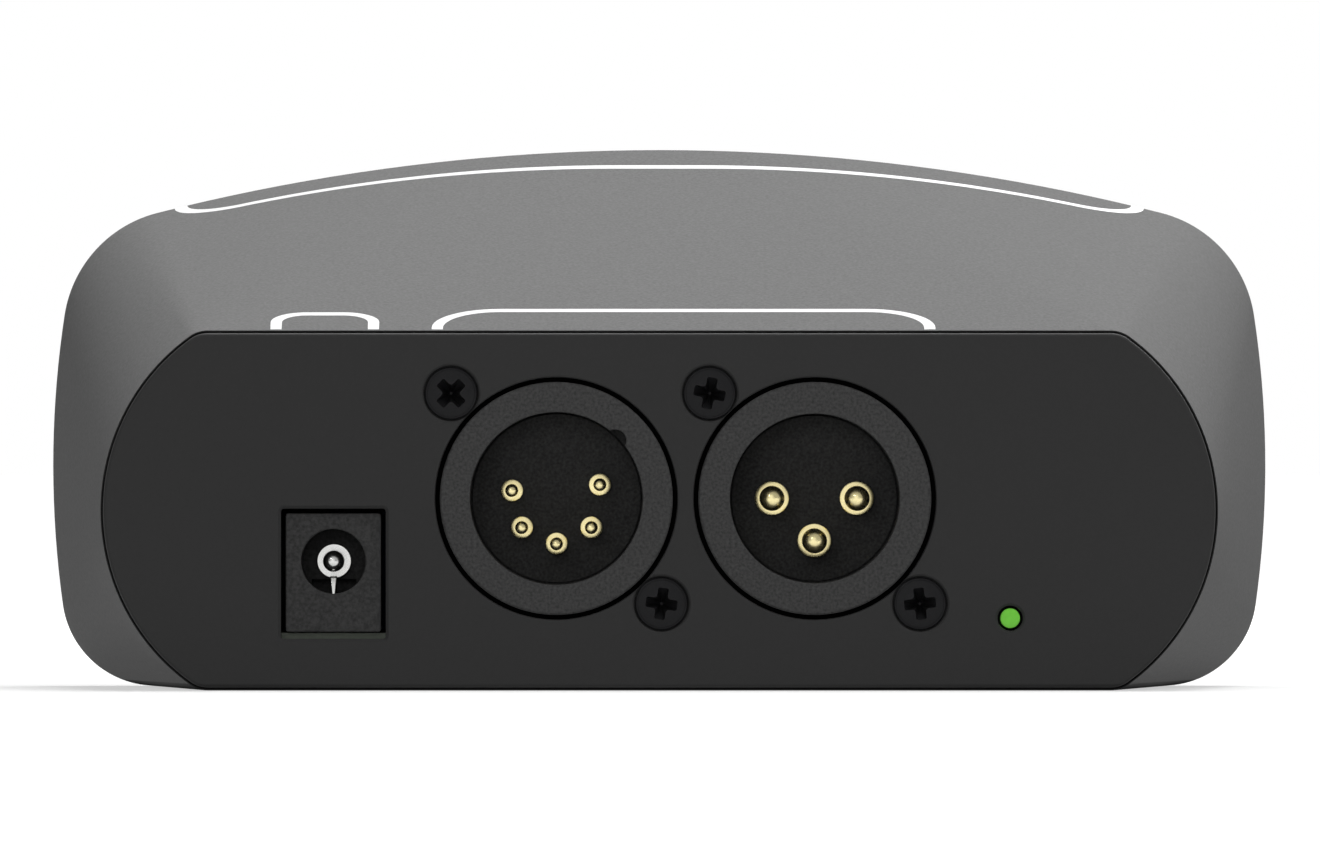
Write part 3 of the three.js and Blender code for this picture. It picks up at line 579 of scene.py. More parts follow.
def outline_arcs(outline, inset):
    """The right half of an outline, bottom up: each arc's centre, radius and last normal."""
    side = (outline["width"] / 2 - outline["side"], outline["widest"])
    side_radius = outline["side"] - inset
    bottom_radius = max(outline["bottom_corner"] - inset, SHARP_CORNER)
    top_radius = max(outline["top_corner"] - inset, SHARP_CORNER)
    bottom = corner_centre(side, side_radius, bottom_radius, inset + bottom_radius)
    if outline["crown"]:
        middle = (0, outline["height"] - outline["crown"])
        radius = outline["crown"] - inset
        upper = meeting_point(middle, radius - top_radius, side, side_radius - top_radius)
        crown = [(upper, top_radius, angle_from(middle, upper)), (middle, radius, math.pi / 2)]
    else:
        top = outline["height"] - inset - top_radius
        upper = corner_centre(side, side_radius, top_radius, top)
        crown = [(upper, top_radius, math.pi / 2)]
    lower = [(bottom, bottom_radius, angle_from(side, bottom))]
    return [*lower, (side, side_radius, angle_from(side, upper)), *crown]


def shared_normals():
    """Normals at which both end outlines have a point, dense enough for the larger arc."""
    ends = [outline_arcs(outline, 0) for outline in (FRONT_OUTLINE, REAR_OUTLINE)]
    normals = [-math.pi / 2]
    for end in sorted({0, *(last for arcs in ends for _, _, last in arcs)}):
        start = normals[-1]
        radius = max(next(radius for _, radius, last in arcs if end <= last) for arcs in ends)
        steps = math.ceil((end - start) / math.sqrt(8 * OUTLINE_ERROR / radius))
        normals += [start + (end - start) * i / steps for i in range(1, steps)] + [end]
    return normals


NORMALS = shared_normals()


def outline_points(outline, inset):
    arcs = outline_arcs(outline, inset)
    half = []
    for normal in NORMALS:
        centre, radius, _ = next(piece for piece in arcs if normal <= piece[2])
        half.append((centre[0] + radius * math.cos(normal), centre[1] + radius * math.sin(normal)))
    return half + [(-x, z) for x, z in reversed(half)]


def body_points(y, inset):
    """The housing's outline at a depth, on straight lines between points of equal normals."""
    share = (y - shell_low.y) / (shell_high.y - shell_low.y)
    front = outline_points(FRONT_OUTLINE, inset)
    rear = outline_points(REAR_OUTLINE, inset)
    return [(a[0] + (b[0] - a[0]) * share, a[1] + (b[1] - a[1]) * share)
            for a, b in zip(front, rear)]


def rounded_rectangle(x, z, corner, steps=8):
    """A loop for prism: a rectangle with round corners, which an inset draws in."""

    def loop(inset):
        radius = max(corner - inset, SHARP_CORNER)
        low_x, high_x = x[0] + inset + radius, x[1] - inset - radius
        low_z, high_z = z[0] + inset + radius, z[1] - inset - radius
        quarter = math.pi / 2
        points = arc((high_x, low_z), radius, -quarter, 0, steps)
        points += arc((high_x, high_z), radius, 0, quarter, steps)
        points += arc((low_x, high_z), radius, quarter, 2 * quarter, steps)
        points += arc((low_x, low_z), radius, 2 * quarter, 3 * quarter, steps)
        return points

    return loop


# Housing


def top_shell():
    depth = shell_high.y - shell_low.y
    edge, bend = SHELL_EDGE, SHELL_EDGE / 3
    rows = [(shell_low.y, edge), (shell_low.y + bend, bend)]
    rows += [(shell_low.y + edge + (depth - 2 * edge) * i / LOFT_STEPS, 0)
             for i in range(LOFT_STEPS + 1)]
    rows += [(shell_high.y - bend, bend), (shell_high.y, edge)]
    rows += [(shell_high.y, WALL), (shell_low.y, WALL)]
    skin = [[(x, y, z) for x, z in body_points(y, inset)] for y, inset in rows]
    obj = as_object("housing_shell", rows_to_solid(skin, closed=True))
    plate = rounded_rectangle((base_low.x - FIT_GAP, base_high.x + FIT_GAP),
                              (base_low.y - FIT_GAP, base_high.y + FIT_GAP), BASE_CORNER + FIT_GAP)
    upright = turn_about("X", 90) @ Matrix.Scale(-1, 4, (0, 0, 1))
    doorway = placed(prism(plate, [(-OVERRUN, 0), (WALL + OVERRUN, 0)]), upright)
    join_meshes(obj, "DIFFERENCE", [doorway])
    dress(shade(obj), "shell_plastic", ["top_shell"])


def panel_rows(face, inward):
    """Rows of an end panel: its face's round edge, seam, seat on the housing, lip and back."""
    lip_outer = WALL + FIT_GAP
    lip_inner = lip_outer + LIP_THICKNESS
    lip_end = SEAT + LIP_DEPTH
    rows = rounding(0, FACE_INSET, FACE_ROUNDING)
    rows += [(SEAM_DEPTH, FACE_INSET), (SEAM_DEPTH, SEAM_INSET), (FACE_THICKNESS, SEAM_INSET),
             (FACE_THICKNESS, EDGE_INSET), (SEAT, EDGE_INSET), (SEAT, lip_outer),
             (lip_end, lip_outer), (lip_end, lip_inner), (PANEL_THICKNESS, lip_inner)]
    return [(face + inward * y, inset) for y, inset in rows]


def lip_cutouts(face, inward):
    """The lip leaves out the middle, where the connectors are, and gives way to the board."""
    span = sorted((face + inward * SEAT, face + inward * (SEAT + LIP_DEPTH + OVERRUN)))
    low, high = node_box("circuit_board")
    return [box((-LIP_OPENING / 2, LIP_OPENING / 2), span, (-OVERRUN, shell_high.z + OVERRUN)),
            box((low.x - FIT_GAP, high.x + FIT_GAP), span, (low.z - FIT_GAP, high.z + FIT_GAP))]


def countersink(size, centre, thickness):
    head, shank = size["head"] + THREAD_GAP, size["shank"] + THREAD_GAP
    mouth = head + HEAD_CHAMFER
    return lathe([(0, -OVERRUN), (mouth, -OVERRUN), (mouth, 0), (head, HEAD_CHAMFER),
                  (head, size["sunk"] + size["rim"]), (shank, size["sunk"] + size["height"]),
                  (shank, thickness + OVERRUN), (0, thickness + OVERRUN)], SCREW_SIDES, centre)


def connector_cutouts(place, *more):
    """What a connector takes out of its panel: its ring, any other solids and two screws."""
    ring = hole(RING + RING_GAP, CUTOUT_CHAMFER, PANEL_THICKNESS + OVERRUN, RING_SIDES,
                rounded=True, flare=OVERRUN)
    screws = [countersink(PANEL_SCREW, (-side * SCREW_OFFSET, side * SCREW_OFFSET), PANEL_THICKNESS)
              for side in (1, -1)]
    return [placed(tool, place) for tool in (ring, *more, *screws)]


def socket_x(prefix):
    low, high = node_box(f"{prefix}_housing")
    return (low.x + high.x) / 2


def at_input(count):
    return Matrix.Translation((socket_x(f"input_{count}pin"), front_face, AXIS_HEIGHT))


def at_output(index):
    place = Matrix.Translation((socket_x(f"output_{index}"), rear_face, AXIS_HEIGHT))
    return place @ turn_about("Z", 180)


def end_panel(name, node, outline, face, inward, tools):
    """Inward is 1 for the front and -1 for the rear."""
    rows = panel_rows(face, inward)[::inward]
    obj = as_object(name, prism(lambda inset: outline_points(outline, inset), rows))
    join_meshes(obj, "DIFFERENCE", tools + lip_cutouts(face, inward))
    dress(shade(obj), "panel_plastic", [node])


def front_panel():
    tools = [tool for count in MALE for tool in connector_cutouts(at_input(count))]
    through = PANEL_THICKNESS + OVERRUN
    jack_loop = rounded_rectangle((jack_low.x - JACK_SIDE_GAP, jack_high.x + JACK_SIDE_GAP),
                                  (jack_low.z - JACK_LOWER_GAP, jack_high.z + JACK_SIDE_GAP),
                                  JACK_OPENING_CORNER, 4)
    for tool in (opening(jack_loop, CUTOUT_CHAMFER, through),
                 hole(PIPE_RADIUS + PIPE_GAP, PIPE_CHAMFER, through, SCREW_SIDES, pipe_centre)):
        tools.append(placed(tool, Matrix.Translation((0, front_face, 0))))
    end_panel("input_panel", "front_panel", FRONT_OUTLINE, front_face, 1, tools)


def rear_panel():
    half = TOWER_HALF + RING_GAP
    notch = opening(rounded_rectangle((-half, half), (0, TOWER_TOP + RING_GAP), OPENING_CORNER, 4),
                    CUTOUT_CHAMFER, PANEL_THICKNESS + OVERRUN)
    tools = [tool for index in OUTPUTS for tool in connector_cutouts(at_output(index), notch)]
    end_panel("output_panel", "rear_panel", REAR_OUTLINE, rear_face, -1, tools)


def base_plate():
    """Drawn as a panel that faces the viewer, and then turned to lie flat."""
    loop = rounded_rectangle((base_low.x, base_high.x), (-base_high.y, -base_low.y), BASE_CORNER)
    obj = as_object("bottom_plate", prism(loop, rounding(0, 0, BASE_EDGE) + [(WALL, 0)]))
    tools = []
    for corner in ("front_left", "front_right", "rear_left", "rear_right"):
        low, high = node_box(f"base_screw_{corner}")
        centre = ((low.x + high.x) / 2, -(low.y + high.y) / 2)
        tools.append(countersink(BASE_SCREW, centre, WALL))
    join_meshes(obj, "DIFFERENCE", tools)
    obj.data.transform(turn_about("X", 90))
    dress(shade(obj), "panel_plastic", ["base_plate"])


# Connectors


def ring_loop(inset):
    return circle(RING - inset, RING_SIDES)


def cavity_loop(radius, key_angle):
    """A loop for prism: a round cavity with a round key notch in its wall."""

    def loop(inset):
        reach = radius - inset
        if key_angle is None:
            return circle(reach, RING_SIDES)
        notch = KEY_RADIUS - inset
        centre = (radius + KEY_REACH - KEY_RADIUS) * Vector((1, 0))
        # Half the angle that the notch takes out of the wall, seen from the axis
        along = (reach**2 - notch**2 + centre.length**2) / (2 * centre.length)
        half = math.acos(along / reach)
        wall = arc((0, 0), reach, half, 2 * math.pi - half, RING_SIDES)
        start = math.atan2(-reach * math.sin(half), reach * math.cos(half) - centre.x)
        bulge = arc(centre, notch, start, -start, 14)[1:-1]
        turned = Matrix.Rotation(math.radians(key_angle), 2)
        return [tuple(turned @ Vector(point)) for point in wall + bulge]

    return loop


def connector_back(depth):
    """What a connector has behind the panel: its flange and the foot that stands on the board."""
    bottom = BOARD_TOP + FIT_GAP - AXIS_HEIGHT
    start = PANEL_THICKNESS + FIT_GAP
    flange = box((-FLANGE_HALF, FLANGE_HALF), (start, start + FLANGE_THICKNESS),
                 (bottom, FLANGE_ABOVE))
    foot = box((-FOOT_HALF, FOOT_HALF), (start, depth), (bottom, bottom + FOOT_HEIGHT))
    return [flange, foot]


def seal(loop):
    """A near-black sheet between an end panel and a connector's flange, seen through the ring's
    gap: painted shade.
    """
    return frame_round(loop, -HAIR, -RING_GAP - GAP_SHADE_REACH, PANEL_THICKNESS + HAIR,
                       PANEL_THICKNESS + FIT_GAP - HAIR)


def male_housing(count):
    size = MALE[count]
    floor_y = size["depth"]
    back = floor_y + FLOOR_THICKNESS
    obj = as_object(f"input_socket_{count}pin",
                    prism(ring_loop, rounding(0, 0, RING_EDGE) + [(back, 0)]))
    bend = MOUTH_EDGE * EDGE_BEND
    mouth = [(-OVERRUN, -MOUTH_EDGE), (0, -MOUTH_EDGE), (bend, -bend), (MOUTH_EDGE, 0),
             (floor_y, 0)]
    cavity = prism(cavity_loop(size["cavity"], size["key_angle"]), mouth)
    groove = frame_round(lambda inset: circle(size["cavity"] - inset, RING_SIDES), GROOVE_WIDTH,
                         HAIR, floor_y - GROOVE_DEPTH, floor_y + GROOVE_DEPTH)
    join_meshes(obj, "UNION", connector_back(back))
    join_meshes(obj, "DIFFERENCE", [cavity, groove])
    place = Matrix.Translation(at_input(count).translation * MM)
    obj.matrix_world = place
    dress(shade(obj), "connector_plastic", [f"input_{count}pin_housing"])
    # A near-black sheet behind the ring's gap, as painted shade
    obj = as_object(f"input_seal_{count}pin", seal(ring_loop))
    obj.matrix_world = place
    dress(shade(obj), None, material="seal_rubber")


def nose(radius, setback):
    """Profile of a contact's tip: a cap that ends in a steep flank."""
    cap = 0.74 * radius
    bend = math.tan(math.radians(46)) / cap
    profile = [(cap * i / 8, setback + bend * (cap * i / 8) ** 2 / 2) for i in range(9)]
    start = profile[-1][1]
    flank = (radius - cap) * math.tan(math.radians(72))
    return profile + [(cap + (radius - cap) * share, start + flank * share**1.3)
                      for share in (0.25, 0.5, 0.75, 1)]


def contact_pin(count, index):
    """A turned contact: domed nose, shaft, collar on the cavity's floor, and a bent tail."""
    size = MALE[count]
    radius, collar, floor_y = size["pin"], size["collar"], size["depth"]
    node = f"input_{count}pin_pin_{index}"
    low, high = node_box(node)
    start = floor_y - THREAD_GAP - COLLAR_THICKNESS
    back = high.y - front_face - radius
    bend = COLLAR_EDGE * EDGE_BEND
    profile = nose(radius, PIN_SETBACK)
    profile += [(radius, start), (collar - COLLAR_EDGE, start), (collar - bend, start + bend),
                (collar, start + COLLAR_EDGE), (collar, floor_y), (radius, floor_y),
                (radius, back), (0, back)]
    axis_z = high.z - collar
    drop = axis_z - low.z
    tail = placed(lathe([(0, 0), (radius, 0), (radius, drop), (0, drop)], 24),
                  Matrix.Translation((0, back, 0)) @ turn_about("X", -90))
    obj = as_object(f"contact_{count}pin_{index}", merge(lathe(profile, 48), tail))
    move_to(obj, (low.x + high.x) / 2, front_face, axis_z)
    dress(shade(obj), "contact_gold", [node])


def tower_loop(inset):
    """Outline of an output's face: its ring with the latch tower on top."""
    ring = RING - inset
    half = TOWER_HALF - inset
    top = TOWER_TOP - inset
    corner = max(TOWER_CORNER - inset, SHARP_CORNER)
    start = math.asin(half / ring)
    points = arc((0, 0), ring, math.pi / 2 + start, 2.5 * math.pi - start, RING_SIDES)
    points += arc((half - corner, top - corner), corner, 0, math.pi / 2, 5)
    points += arc((corner - half, top - corner), corner, math.pi / 2, math.pi, 5)
    return points


def output_housing_mesh():
    back = BORE_DEPTH + FLOOR_THICKNESS
    obj = as_object("output_socket_1",
                    prism(tower_loop, rounding(0, 0, RING_EDGE) + [(back, 0)]))
    width = (-WINDOW_HALF, WINDOW_HALF)
    tools = [
        hole(BORE, BORE_EDGE, BORE_DEPTH, RING_SIDES, rounded=True),
        opening(rounded_rectangle(width, (WINDOW_BOTTOM, WINDOW_TOP), OPENING_CORNER, 4),
                WINDOW_EDGE, WELL_DEPTH),
        box(width, (WELL_START, WELL_DEPTH),
            (WINDOW_BOTTOM + OPENING_CORNER, PIVOT[1] + BARREL + FIT_GAP)),
        box(width, HOOK_SLOT, (0, WINDOW_TOP - OVERRUN)),
        along_x(circle(AXLE + THREAD_GAP, 32, PIVOT), AXLE_REACH + FIT_GAP),
    ]
    join_meshes(obj, "UNION", connector_back(back))
    join_meshes(obj, "DIFFERENCE", tools)
    return obj


def latch_lever_mesh():
    """A lever with a dished thumb tab in front, a barrel for its axle, and a hooked arm."""
    low, high, half = 10.9, 14.1, 3.5
    front, tab_back, tab_edge = -0.4, 0.6, 0.16
    tab = prism(rounded_rectangle((-half, half), (low, high), 0.55, 6),
                rounding(front, 0, tab_edge) + [(tab_back, 0)])
    obj = as_object("output_lever_1", tab)
    arm = [(0.3, low + 0.1), (6.8, low + 0.1), (8.2, 8.5), (9.6, 8.5), (9.6, 12.0), (3.7, 12.0),
           PIVOT, (0.6, high - 0.1), (0.3, high - 0.1)]
    barrel, axle = circle(BARREL, 40, PIVOT), circle(AXLE, 32, PIVOT)
    join_meshes(obj, "UNION", [along_x(arm, half - 0.08), along_x(barrel, half - 0.04),
                               along_x(axle, AXLE_REACH)])
    dish, hollow = 12.0, 0.13
    join_meshes(obj, "DIFFERENCE", [
        along_x(circle(dish, 360, (front - dish + hollow, (low + high) / 2)), 2 * half)])
    return obj


def output_insert_mesh():
    rows = rounding(INSERT_SETBACK, 0, INSERT_EDGE)
    profile = [(0, INSERT_SETBACK)] + [(INSERT - inset, y) for y, inset in rows]
    profile += [(INSERT, BORE_DEPTH), (0, BORE_DEPTH)]
    obj = as_object("output_core_1", lathe(profile, 96))
    rib = placed(box((0, INSERT + RIB_REACH), (INSERT_SETBACK + INSERT_EDGE, BORE_DEPTH),
                     (-RIB_HALF, RIB_HALF)), turn_about("Y", MALE[5]["key_angle"] - 180))
    join_meshes(obj, "UNION", [rib])
    mouth = CONTACT_HOLE + CONTACT_CHAMFER
    profile = [(0, 0), (mouth, 0), (mouth, INSERT_SETBACK),
               (CONTACT_HOLE, INSERT_SETBACK + CONTACT_CHAMFER), (CONTACT_HOLE, CONTACT_DEPTH),
               (0, CONTACT_DEPTH)]
    join_meshes(obj, "DIFFERENCE", [lathe(profile, 32, place) for place in contact_places()])
    return obj


def contact_places():
    """The contacts of an output, mirrored from those of an input, since the two faces meet."""
    turns = [math.radians(angle) for angle in CONTACT_ANGLES]
    return [(-CONTACT_CIRCLE * math.cos(t), CONTACT_CIRCLE * math.sin(t)) for t in turns]


def contact_sleeves_mesh():
    """The plated tubes inside an output's contact holes."""
    start, end = INSERT_SETBACK + SLEEVE_SETBACK, CONTACT_DEPTH
    outer, inner, edge = CONTACT_HOLE - 0.03, CONTACT_BORE, SLEEVE_EDGE
    profile = [(inner, end), (inner, start + edge), (inner + edge, start), (outer - edge, start),
               (outer, start + edge), (outer, end)]
    tubes = [rows_to_solid(rings(profile, 32, place), closed=True) for place in contact_places()]
    return as_object("output_sleeves_1", merge(*tubes))


def copies(first, slot, replaced, body="root", material=None):
    """Puts a finished mesh at each of the four outputs."""
    shade(first)
    base_name = first.name[:-2]
    for index in OUTPUTS:
        obj = first
        if index > 1:
            obj = first.copy()
            bpy.context.scene.collection.objects.link(obj)
        obj.name = f"{base_name}_{index}"
        place = Matrix.Translation(at_output(index).translation * MM)
        obj.matrix_world = place @ turn_about("Z", 180)
        stands_for = [replaced.format(index)] if replaced else ()
        dress(obj, slot, stands_for, body.format(index), material)


# Screws


def cross_loop(share):
    """Outline of a cross recess: four slots with round ends, and round corners between them."""
    reach, half, corner, end = CROSS_REACH, CROSS_WIDTH / 2, 0.3, 0.2
    quarter = arc((reach - end, half - end), end, 0, math.pi / 2, 4)
    quarter += arc((half + corner, half + corner), corner, -math.pi / 2, -math.pi, 5)
    quarter += arc((half - end, reach - end), end, 0, math.pi / 2, 4)
    turns = [k * math.pi / 2 for k in range(4)]
    outline = [(x * math.cos(t) - z * math.sin(t), x * math.sin(t) + z * math.cos(t))
               for t in turns for x, z in quarter]
    return [(x * share, z * share) for x, z in outline]


def screw_mesh(name, size):
    """A countersunk screw: slightly domed head, cross recess and plain shank."""
    head, shank, length = size["head"], size["shank"], size["length"]
    dome, edge, step = 0.16, 0.24, 0.05
    flat = head - edge - step
    profile = [(s * flat, -dome * (1 - s**2)) for s in (0, 0.2, 0.4, 0.6, 0.8, 1)]
    profile += [(flat + step / 2, step / 2), (flat + step, 0)]
    profile += [(head - inset, y) for y, inset in rounding(0, 0, edge, 4)[1:]]
    profile += [(head, size["rim"]), (shank, size["height"]), (shank, length), (0, length + shank)]
    obj = as_object(name, lathe(profile, SCREW_SIDES))
    join_meshes(obj, "DIFFERENCE", [prism(cross_loop, [(-OVERRUN, 1), (0, 1), (CROSS_DEPTH, 0.1)])])
    mesh = obj.data
    bpy.data.objects.remove(obj)
    return mesh


def place_screws():
    panel_mesh = screw_mesh("panel_screw", PANEL_SCREW)
    base_mesh = screw_mesh("base_screw", BASE_SCREW)
    for node in sorted(nodes):
        if "_screw_" not in node:
            continue
        low, high = node_box(node)
        x, y, z = (low + high) / 2
        if node.startswith("base"):
            mesh, head, turns = base_mesh, (x, y, low.z), [turn_about("X", 90)]
        elif node.startswith("input"):
            mesh, head, turns = panel_mesh, (x, low.y, z), [turn_about("Y", SCREW_TURNS[node])]
        else:
            # No two neighbours are turned alike
            turns = [turn_about("Z", 180), turn_about("Y", (x * 7 + z * 5) % 90)]
            mesh, head = panel_mesh, (x, high.y, z)
        obj = link(f"{node}_fine", mesh)
        place = Matrix.Translation(Vector(head) * MM)
        for turn in turns:
            place = place @ turn
        obj.matrix_world = place
        dress(shade(obj, 30), "black_screw", [node])


# Power jack and status light


def jack_leaf(bore_depth, length):
    """The spring that presses on the plug: it rises steeply behind the mouth and runs back."""
    tip, crest, root, thickness = -2.95, -1.42, -2.75, 0.3
    front, back = 2.0, 2.7
    narrow, wide, tail = 0.14, 0.33, 0.275
    steps = 12
    rows = []
    for share in (i / steps for i in range(steps)):
        top = tip + (crest - tip) * math.sin(share * math.pi / 2)
        rows.append((front + (back - front) * share, top, narrow + (wide - narrow) * share))
    for share in (i / steps for i in range(steps + 1)):
        top = crest + (root - crest) * (1 - math.cos(share * math.pi)) / 2
        rows.append((back + (bore_depth - back) * share, top, wide + (tail - wide) * share))
    rows.append((length, root, tail))
    return rows_to_solid([[(-half, y, top - thickness), (half, y, top - thickness),
                           (half, y, top), (-half, y, top)] for y, top, half in rows])


def jack():
    """The jack's housing, its centre pin with a collar, and its leaf spring."""
    face = jack_low.y
    centre_x, centre_z = (jack_low.x + jack_high.x) / 2, jack_low.z + JACK_AXIS
    length = jack_high.y - face
    rows = [(face + y, inset) for y, inset in rounding(0, 0, 0.14) + [(length, 0)]]
    # Reaches down to the board's edge
    foot = 0.2
    loop = rounded_rectangle((jack_low.x, jack_high.x), (jack_low.z - foot, jack_high.z), 0.25, 4)
    obj = as_object("power_jack", prism(loop, rows))
    radius, depth, edge = 3.05, 9.5, 0.1
    bore = placed(hole(radius, edge, depth, 96, (centre_x, centre_z)),
                  Matrix.Translation((0, face, 0)))
    # The leaf's root lies in a pocket behind the lower part of the bore
    pocket = box((centre_x - 2.1, centre_x + 2.1), (face + depth - OVERRUN, face + depth + 4),
                 (centre_z - 3.3, centre_z - 1.72))
    join_meshes(obj, "DIFFERENCE", [bore, pocket])
    dress(shade(obj), "insert_plastic", ["dc_jack_housing"])
    pin, setback, collar, thickness, edge = 1.0, 1.2, 1.65, 0.8, 0.08
    start = depth - THREAD_GAP - thickness
    profile = nose(pin, setback)
    profile += [(pin, start), (collar - edge, start), (collar, start + edge), (collar, depth),
                (0, depth)]
    obj = as_object("power_jack_pin", lathe(profile, 48))
    move_to(obj, centre_x, face, centre_z)
    dress(shade(obj), "jack_silver", ["dc_jack_center_pin"])
    obj = as_object("power_jack_leaf", jack_leaf(depth, length))
    move_to(obj, centre_x, face, centre_z)
    dress(soften(shade(obj), 0.05), "jack_silver", ["dc_jack_spring_contact"])


def status_light():
    """The light pipe with its domed end, and a near-black ring in the gap round it in the panel, as
    painted shade.
    """
    dome, length = 0.12, 6.2
    tip, neck_end, shoulder = PIPE_RADIUS - 0.05, 1.2, 1.3
    profile = [(0, -dome)] + [(tip * s, -dome * (1 - s * s)) for s in (0.25, 0.5, 0.7, 0.85)]
    profile += [(tip - 0.03, 0.02), (tip, 0.1), (tip, neck_end), (PIPE_RADIUS, shoulder),
                (PIPE_RADIUS, length), (0, length)]
    obj = as_object("status_light_pipe", lathe(profile, 48))
    move_to(obj, pipe_centre[0], front_face + dome, pipe_centre[1])
    dress(shade(obj), "status_light", ["light_pipe"])
    # A near-black ring in the gap round the pipe, as painted shade
    gap_shade_ring = frame_round(lambda inset: circle(PIPE_RADIUS - inset, SCREW_SIDES), 0.03,
                         HAIR - PIPE_GAP, 0.6, PANEL_THICKNESS)
    obj = as_object("status_light_sleeve", gap_shade_ring)
    move_to(obj, pipe_centre[0], front_face, pipe_centre[1])
    dress(shade(obj), None, material="seal_rubber")


# White lines printed on the housing's top


def top_height(x, y):
    """Height of the housing's top over a point of the plan."""
    outwards = body_points(y, 0)[len(NORMALS) - 1::-1]
    top = [(0, outwards[0][1]), *outwards]
    for (x0, z0), (x1, z1) in zip(top, top[1:]):
        if x0 <= abs(x) <= x1:
            return z0 + (z1 - z0) * (abs(x) - x0) / (x1 - x0)
    raise ValueError(f"no top over x {x}")


def bracket_path(left, right, bar_y, end_y, corner):
    """A line in the plan: up one leg, round a corner, along the bar, and the same mirrored."""
    sense = 1 if bar_y > end_y else -1
    turn_y = bar_y - sense * corner
    middle = (left + right) / 2
    leg = [(left, end_y + (turn_y - end_y) * i / 8) for i in range(8)]
    bend = [(left + corner - corner * math.cos(a), turn_y + sense * corner * math.sin(a))
            for a in (math.pi / 2 * i / 12 for i in range(12))]
    bar = [(left + corner + (middle - left - corner) * i / 40, bar_y) for i in range(41)]
    half = leg + bend + bar
    return half + [(left + right - x, y) for x, y in half[-2::-1]]


def printed_line(name, path, width):
    """A flat ribbon just proud of the housing, along a path in the plan."""
    lift, thickness = 0.02, 0.05
    rows = []
    for i, (x, y) in enumerate(path):
        before, after = path[max(i - 1, 0)], path[min(i + 1, len(path) - 1)]
        along = Vector((after[0] - before[0], after[1] - before[1])).normalized()
        across = Vector((-along.y, along.x)) * width / 2
        low, high = (x - across.x, y - across.y), (x + across.x, y + across.y)
        rows.append([(*point, top_height(*point) + rise) for point, rise in
                     ((low, -thickness), (high, -thickness), (high, lift), (low, lift))])
    dress(shade(as_object(name, rows_to_solid(rows))), None, material="print_white")


def prints():
    """Three brackets, each open towards the sockets that it stands over."""
    near, far = shell_low.y + PRINT_MARGIN, shell_high.y - PRINT_MARGIN
    half = LINE_WIDTH / 2
    brackets = {
        "print_power": (-36.8, -26.4, shell_low.y + 5.6, near, 2.9, NARROW_LINE),
        "print_input": (-21.57, 26.16, shell_low.y + 6.8, near, 6.0, NARROW_LINE),
        "print_output": (-46.6, 46.6, shell_high.y - 6.3, far, 6.0, LINE_WIDTH),
    }
    for name, (left, right, bar_y, end_y, corner, width) in brackets.items():
        printed_line(name, bracket_path(left + half, right - half, bar_y, end_y, corner), width)


# Camera, floor and light


def camera():
    """The photograph's view: straight from the front, and from far away."""
    lens, sensor = 1000.0, 36.0
    pixels_per_mm = 10.49
    image_width = 1320
    distance = image_width / pixels_per_mm * lens / sensor
    data = bpy.data.cameras.new("camera")
    data.lens = lens
    data.sensor_width = sensor
    data.clip_start = 0.1
    data.clip_end = 20
    obj = link("camera", data)
    move_to(obj, 0.07, -distance, 24.5)
    obj.rotation_euler = (math.pi / 2, 0, 0)
    bpy.context.scene.camera = obj


def seen_directly(tree):
    """1 for what the camera sees, itself or in metal and glass, and 0 for light that falls."""
    path = tree.nodes.new("ShaderNodeLightPath")
    seen = path.outputs["Is Camera Ray"]
    for kind in ("Is Glossy Ray", "Is Transmission Ray"):
        seen = compute(tree, "MAXIMUM", seen, path.outputs[kind])
    return seen


def floor():
    reach, sink = 30000, -0.02
    corners = [(x * reach, y * reach, sink) for x, y in ((-1, -1), (1, -1), (1, 1), (-1, 1))]
    obj = as_object("floor", (corners, [[0, 1, 2, 3]]))
    material, tree, shader = new_material("floor")
    shader.inputs["Base Color"].default_value = (0.3, 0.3, 0.3, 1)
    shader.inputs["Roughness"].default_value = 0.9
    shader.inputs["Specular IOR Level"].default_value = 0
    shader.inputs["Emission Color"].default_value = (1, 1, 1, 1)
    # Far away the floor is white by itself. Near the object the lamps make up what it lacks
    place = tree.nodes.new("ShaderNodeTexCoord")
    away = tree.nodes.new("ShaderNodeVectorMath")
    away.operation = "LENGTH"
    tree.links.new(place.outputs["Object"], away.inputs[0])
    glow = map_range(tree, away.outputs["Value"], 0.1, 0.6, 0.55, 1.0)
    strength = compute(tree, "MULTIPLY", seen_directly(tree), glow)
    tree.links.new(strength, shader.inputs["Emission Strength"])
    obj.data.materials.append(material)


def world():
    made = bpy.data.worlds.new("studio")
    bpy.context.scene.world = made
    made.use_nodes = True
    tree = made.node_tree
    background = tree.nodes["Background"]
    background.inputs["Color"].default_value = (1, 1, 1, 1)
    light_on_things = 0.21
    strength = map_range(tree, seen_directly(tree), 0, 1, light_on_things, 1.0)
    # Metal sees less light from between the studio's front, which is lit, and its back
    place = tree.nodes.new("ShaderNodeTexCoord")
    side = tree.nodes.new("ShaderNodeVectorMath")
    side.operation = "DOT_PRODUCT"
    side.inputs[1].default_value = (-0.2, -0.93, 0.3)
    tree.links.new(place.outputs["Generated"], side.inputs[0])
    off = compute(tree, "ABSOLUTE", compute(tree, "SUBTRACT", side.outputs["Value"], 0.4))
    dim = map_range(tree, off, 0.56, 0.42, 0, 0.55)
    path = tree.nodes.new("ShaderNodeLightPath")
    loss = compute(tree, "MULTIPLY", dim, path.outputs["Is Glossy Ray"])
    tree.links.new(compute(tree, "SUBTRACT", strength, loss), background.inputs["Strength"])


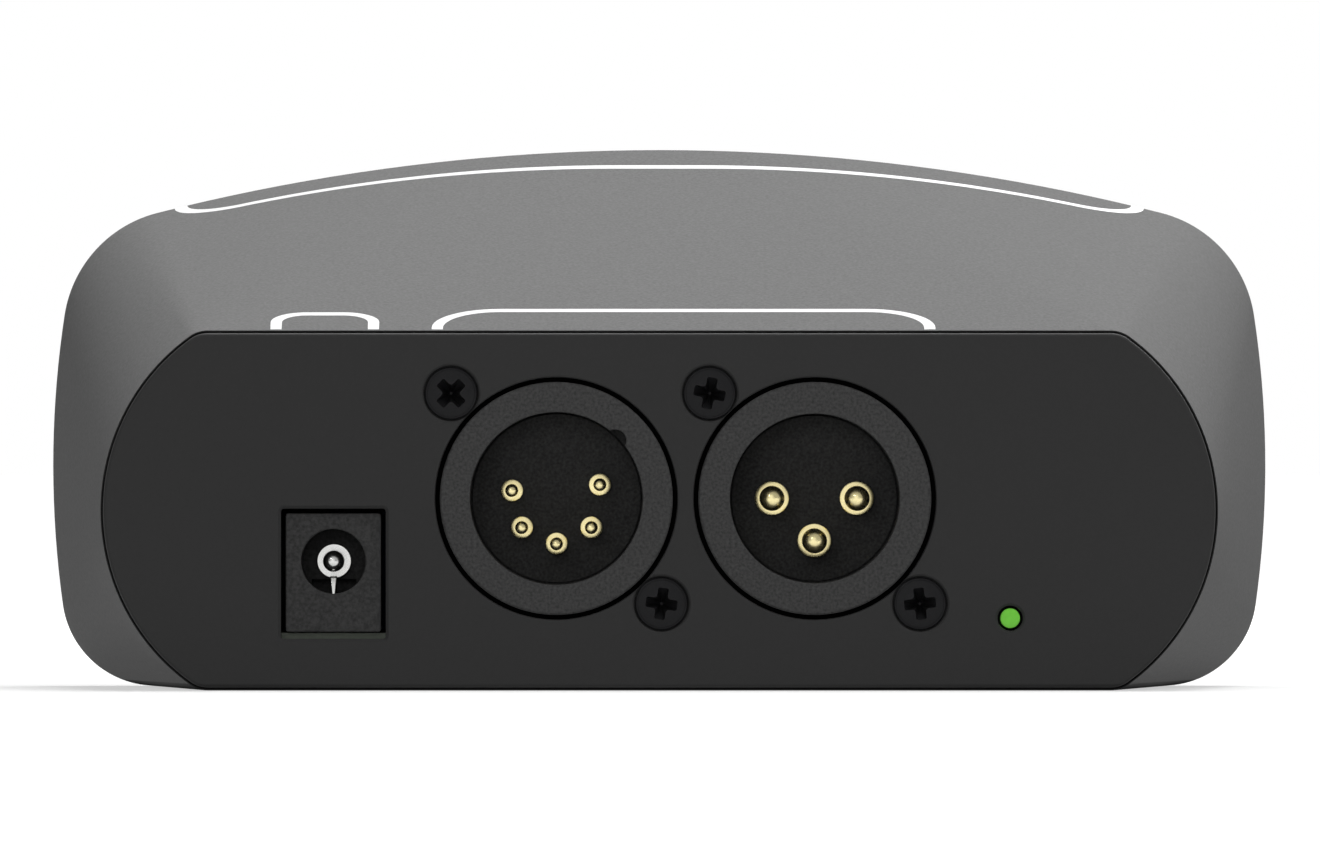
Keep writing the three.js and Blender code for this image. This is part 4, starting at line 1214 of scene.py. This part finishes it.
def lamp(name, place, size, power):
    """A soft box that looks at the middle of the object. Place and size are in metres."""
    data = bpy.data.lights.new(name, "AREA")
    data.shape = "RECTANGLE"
    data.size, data.size_y = size
    data.energy = power
    obj = link(name, data)
    obj.location = place
    aim = Vector((0, 0, 0.025)) - Vector(place)
    obj.rotation_euler = aim.to_track_quat("-Z", "Y").to_euler()
    return obj


def light():
    key = lamp("key", (0.35, -0.5, 0.9), (0.7, 0.6), 6.8)
    key.visible_glossy = False
    lamp("top", (0.1, 0.4, 1.0), (0.6, 0.6), 13.5)
    lamp("glint", (-0.9, -1.2, 0.95), (0.16, 0.16), 1.2)
    lamp("rear", (0.4, 1.5, 0.7), (0.6, 0.6), 6)
    front = lamp("front", (-0.1, -1.9, 0.12), (0.5, 0.5), 10)
    front.visible_glossy = False
    # Lies on the floor and shines up, as a table of lit glass does
    table = lamp("table", (0, 0, -0.00001), (0.5, 0.5), 0.36)
    table.rotation_euler = (math.pi, 0, 0)
    table.visible_camera = False
    table.visible_glossy = False


def carried_over():
    """Materials and softer edges for the CAD nodes that stay."""
    slots = {row["node"]: row["material_slot"] for row in frame["record"]["subparts"]}
    for name, obj in nodes.items():
        if obj.hide_render:
            continue
        obj.data.materials.clear()
        obj.data.materials.append(MATERIALS[slots[name]])
        flatten = obj.modifiers.new("facets", "DECIMATE")
        flatten.decimate_type = "DISSOLVE"
        flatten.angle_limit = math.radians(1)
        soften(obj, 0.12)


camera()
floor()
world()
light()

top_shell()
front_panel()
rear_panel()
base_plate()
for pins in MALE:
    male_housing(pins)
    for number in range(1, pins + 1):
        contact_pin(pins, number)
copies(output_housing_mesh(), "connector_plastic", "output_{}_housing")
copies(output_insert_mesh(), "insert_plastic", "output_{}_insert")
copies(contact_sleeves_mesh(), "contact_gold", None)
# Near-black sheets behind the outputs' gaps, as painted shade
copies(as_object("output_seal_1", seal(tower_loop)), None, None, material="seal_rubber")
copies(soften(latch_lever_mesh(), 0.08), "latch_steel", "output_{}_latch_lever", "latch_{}")
place_screws()
jack()
status_light()
prints()
carried_over()

view = bpy.context.scene.view_settings
view.view_transform = "Standard"
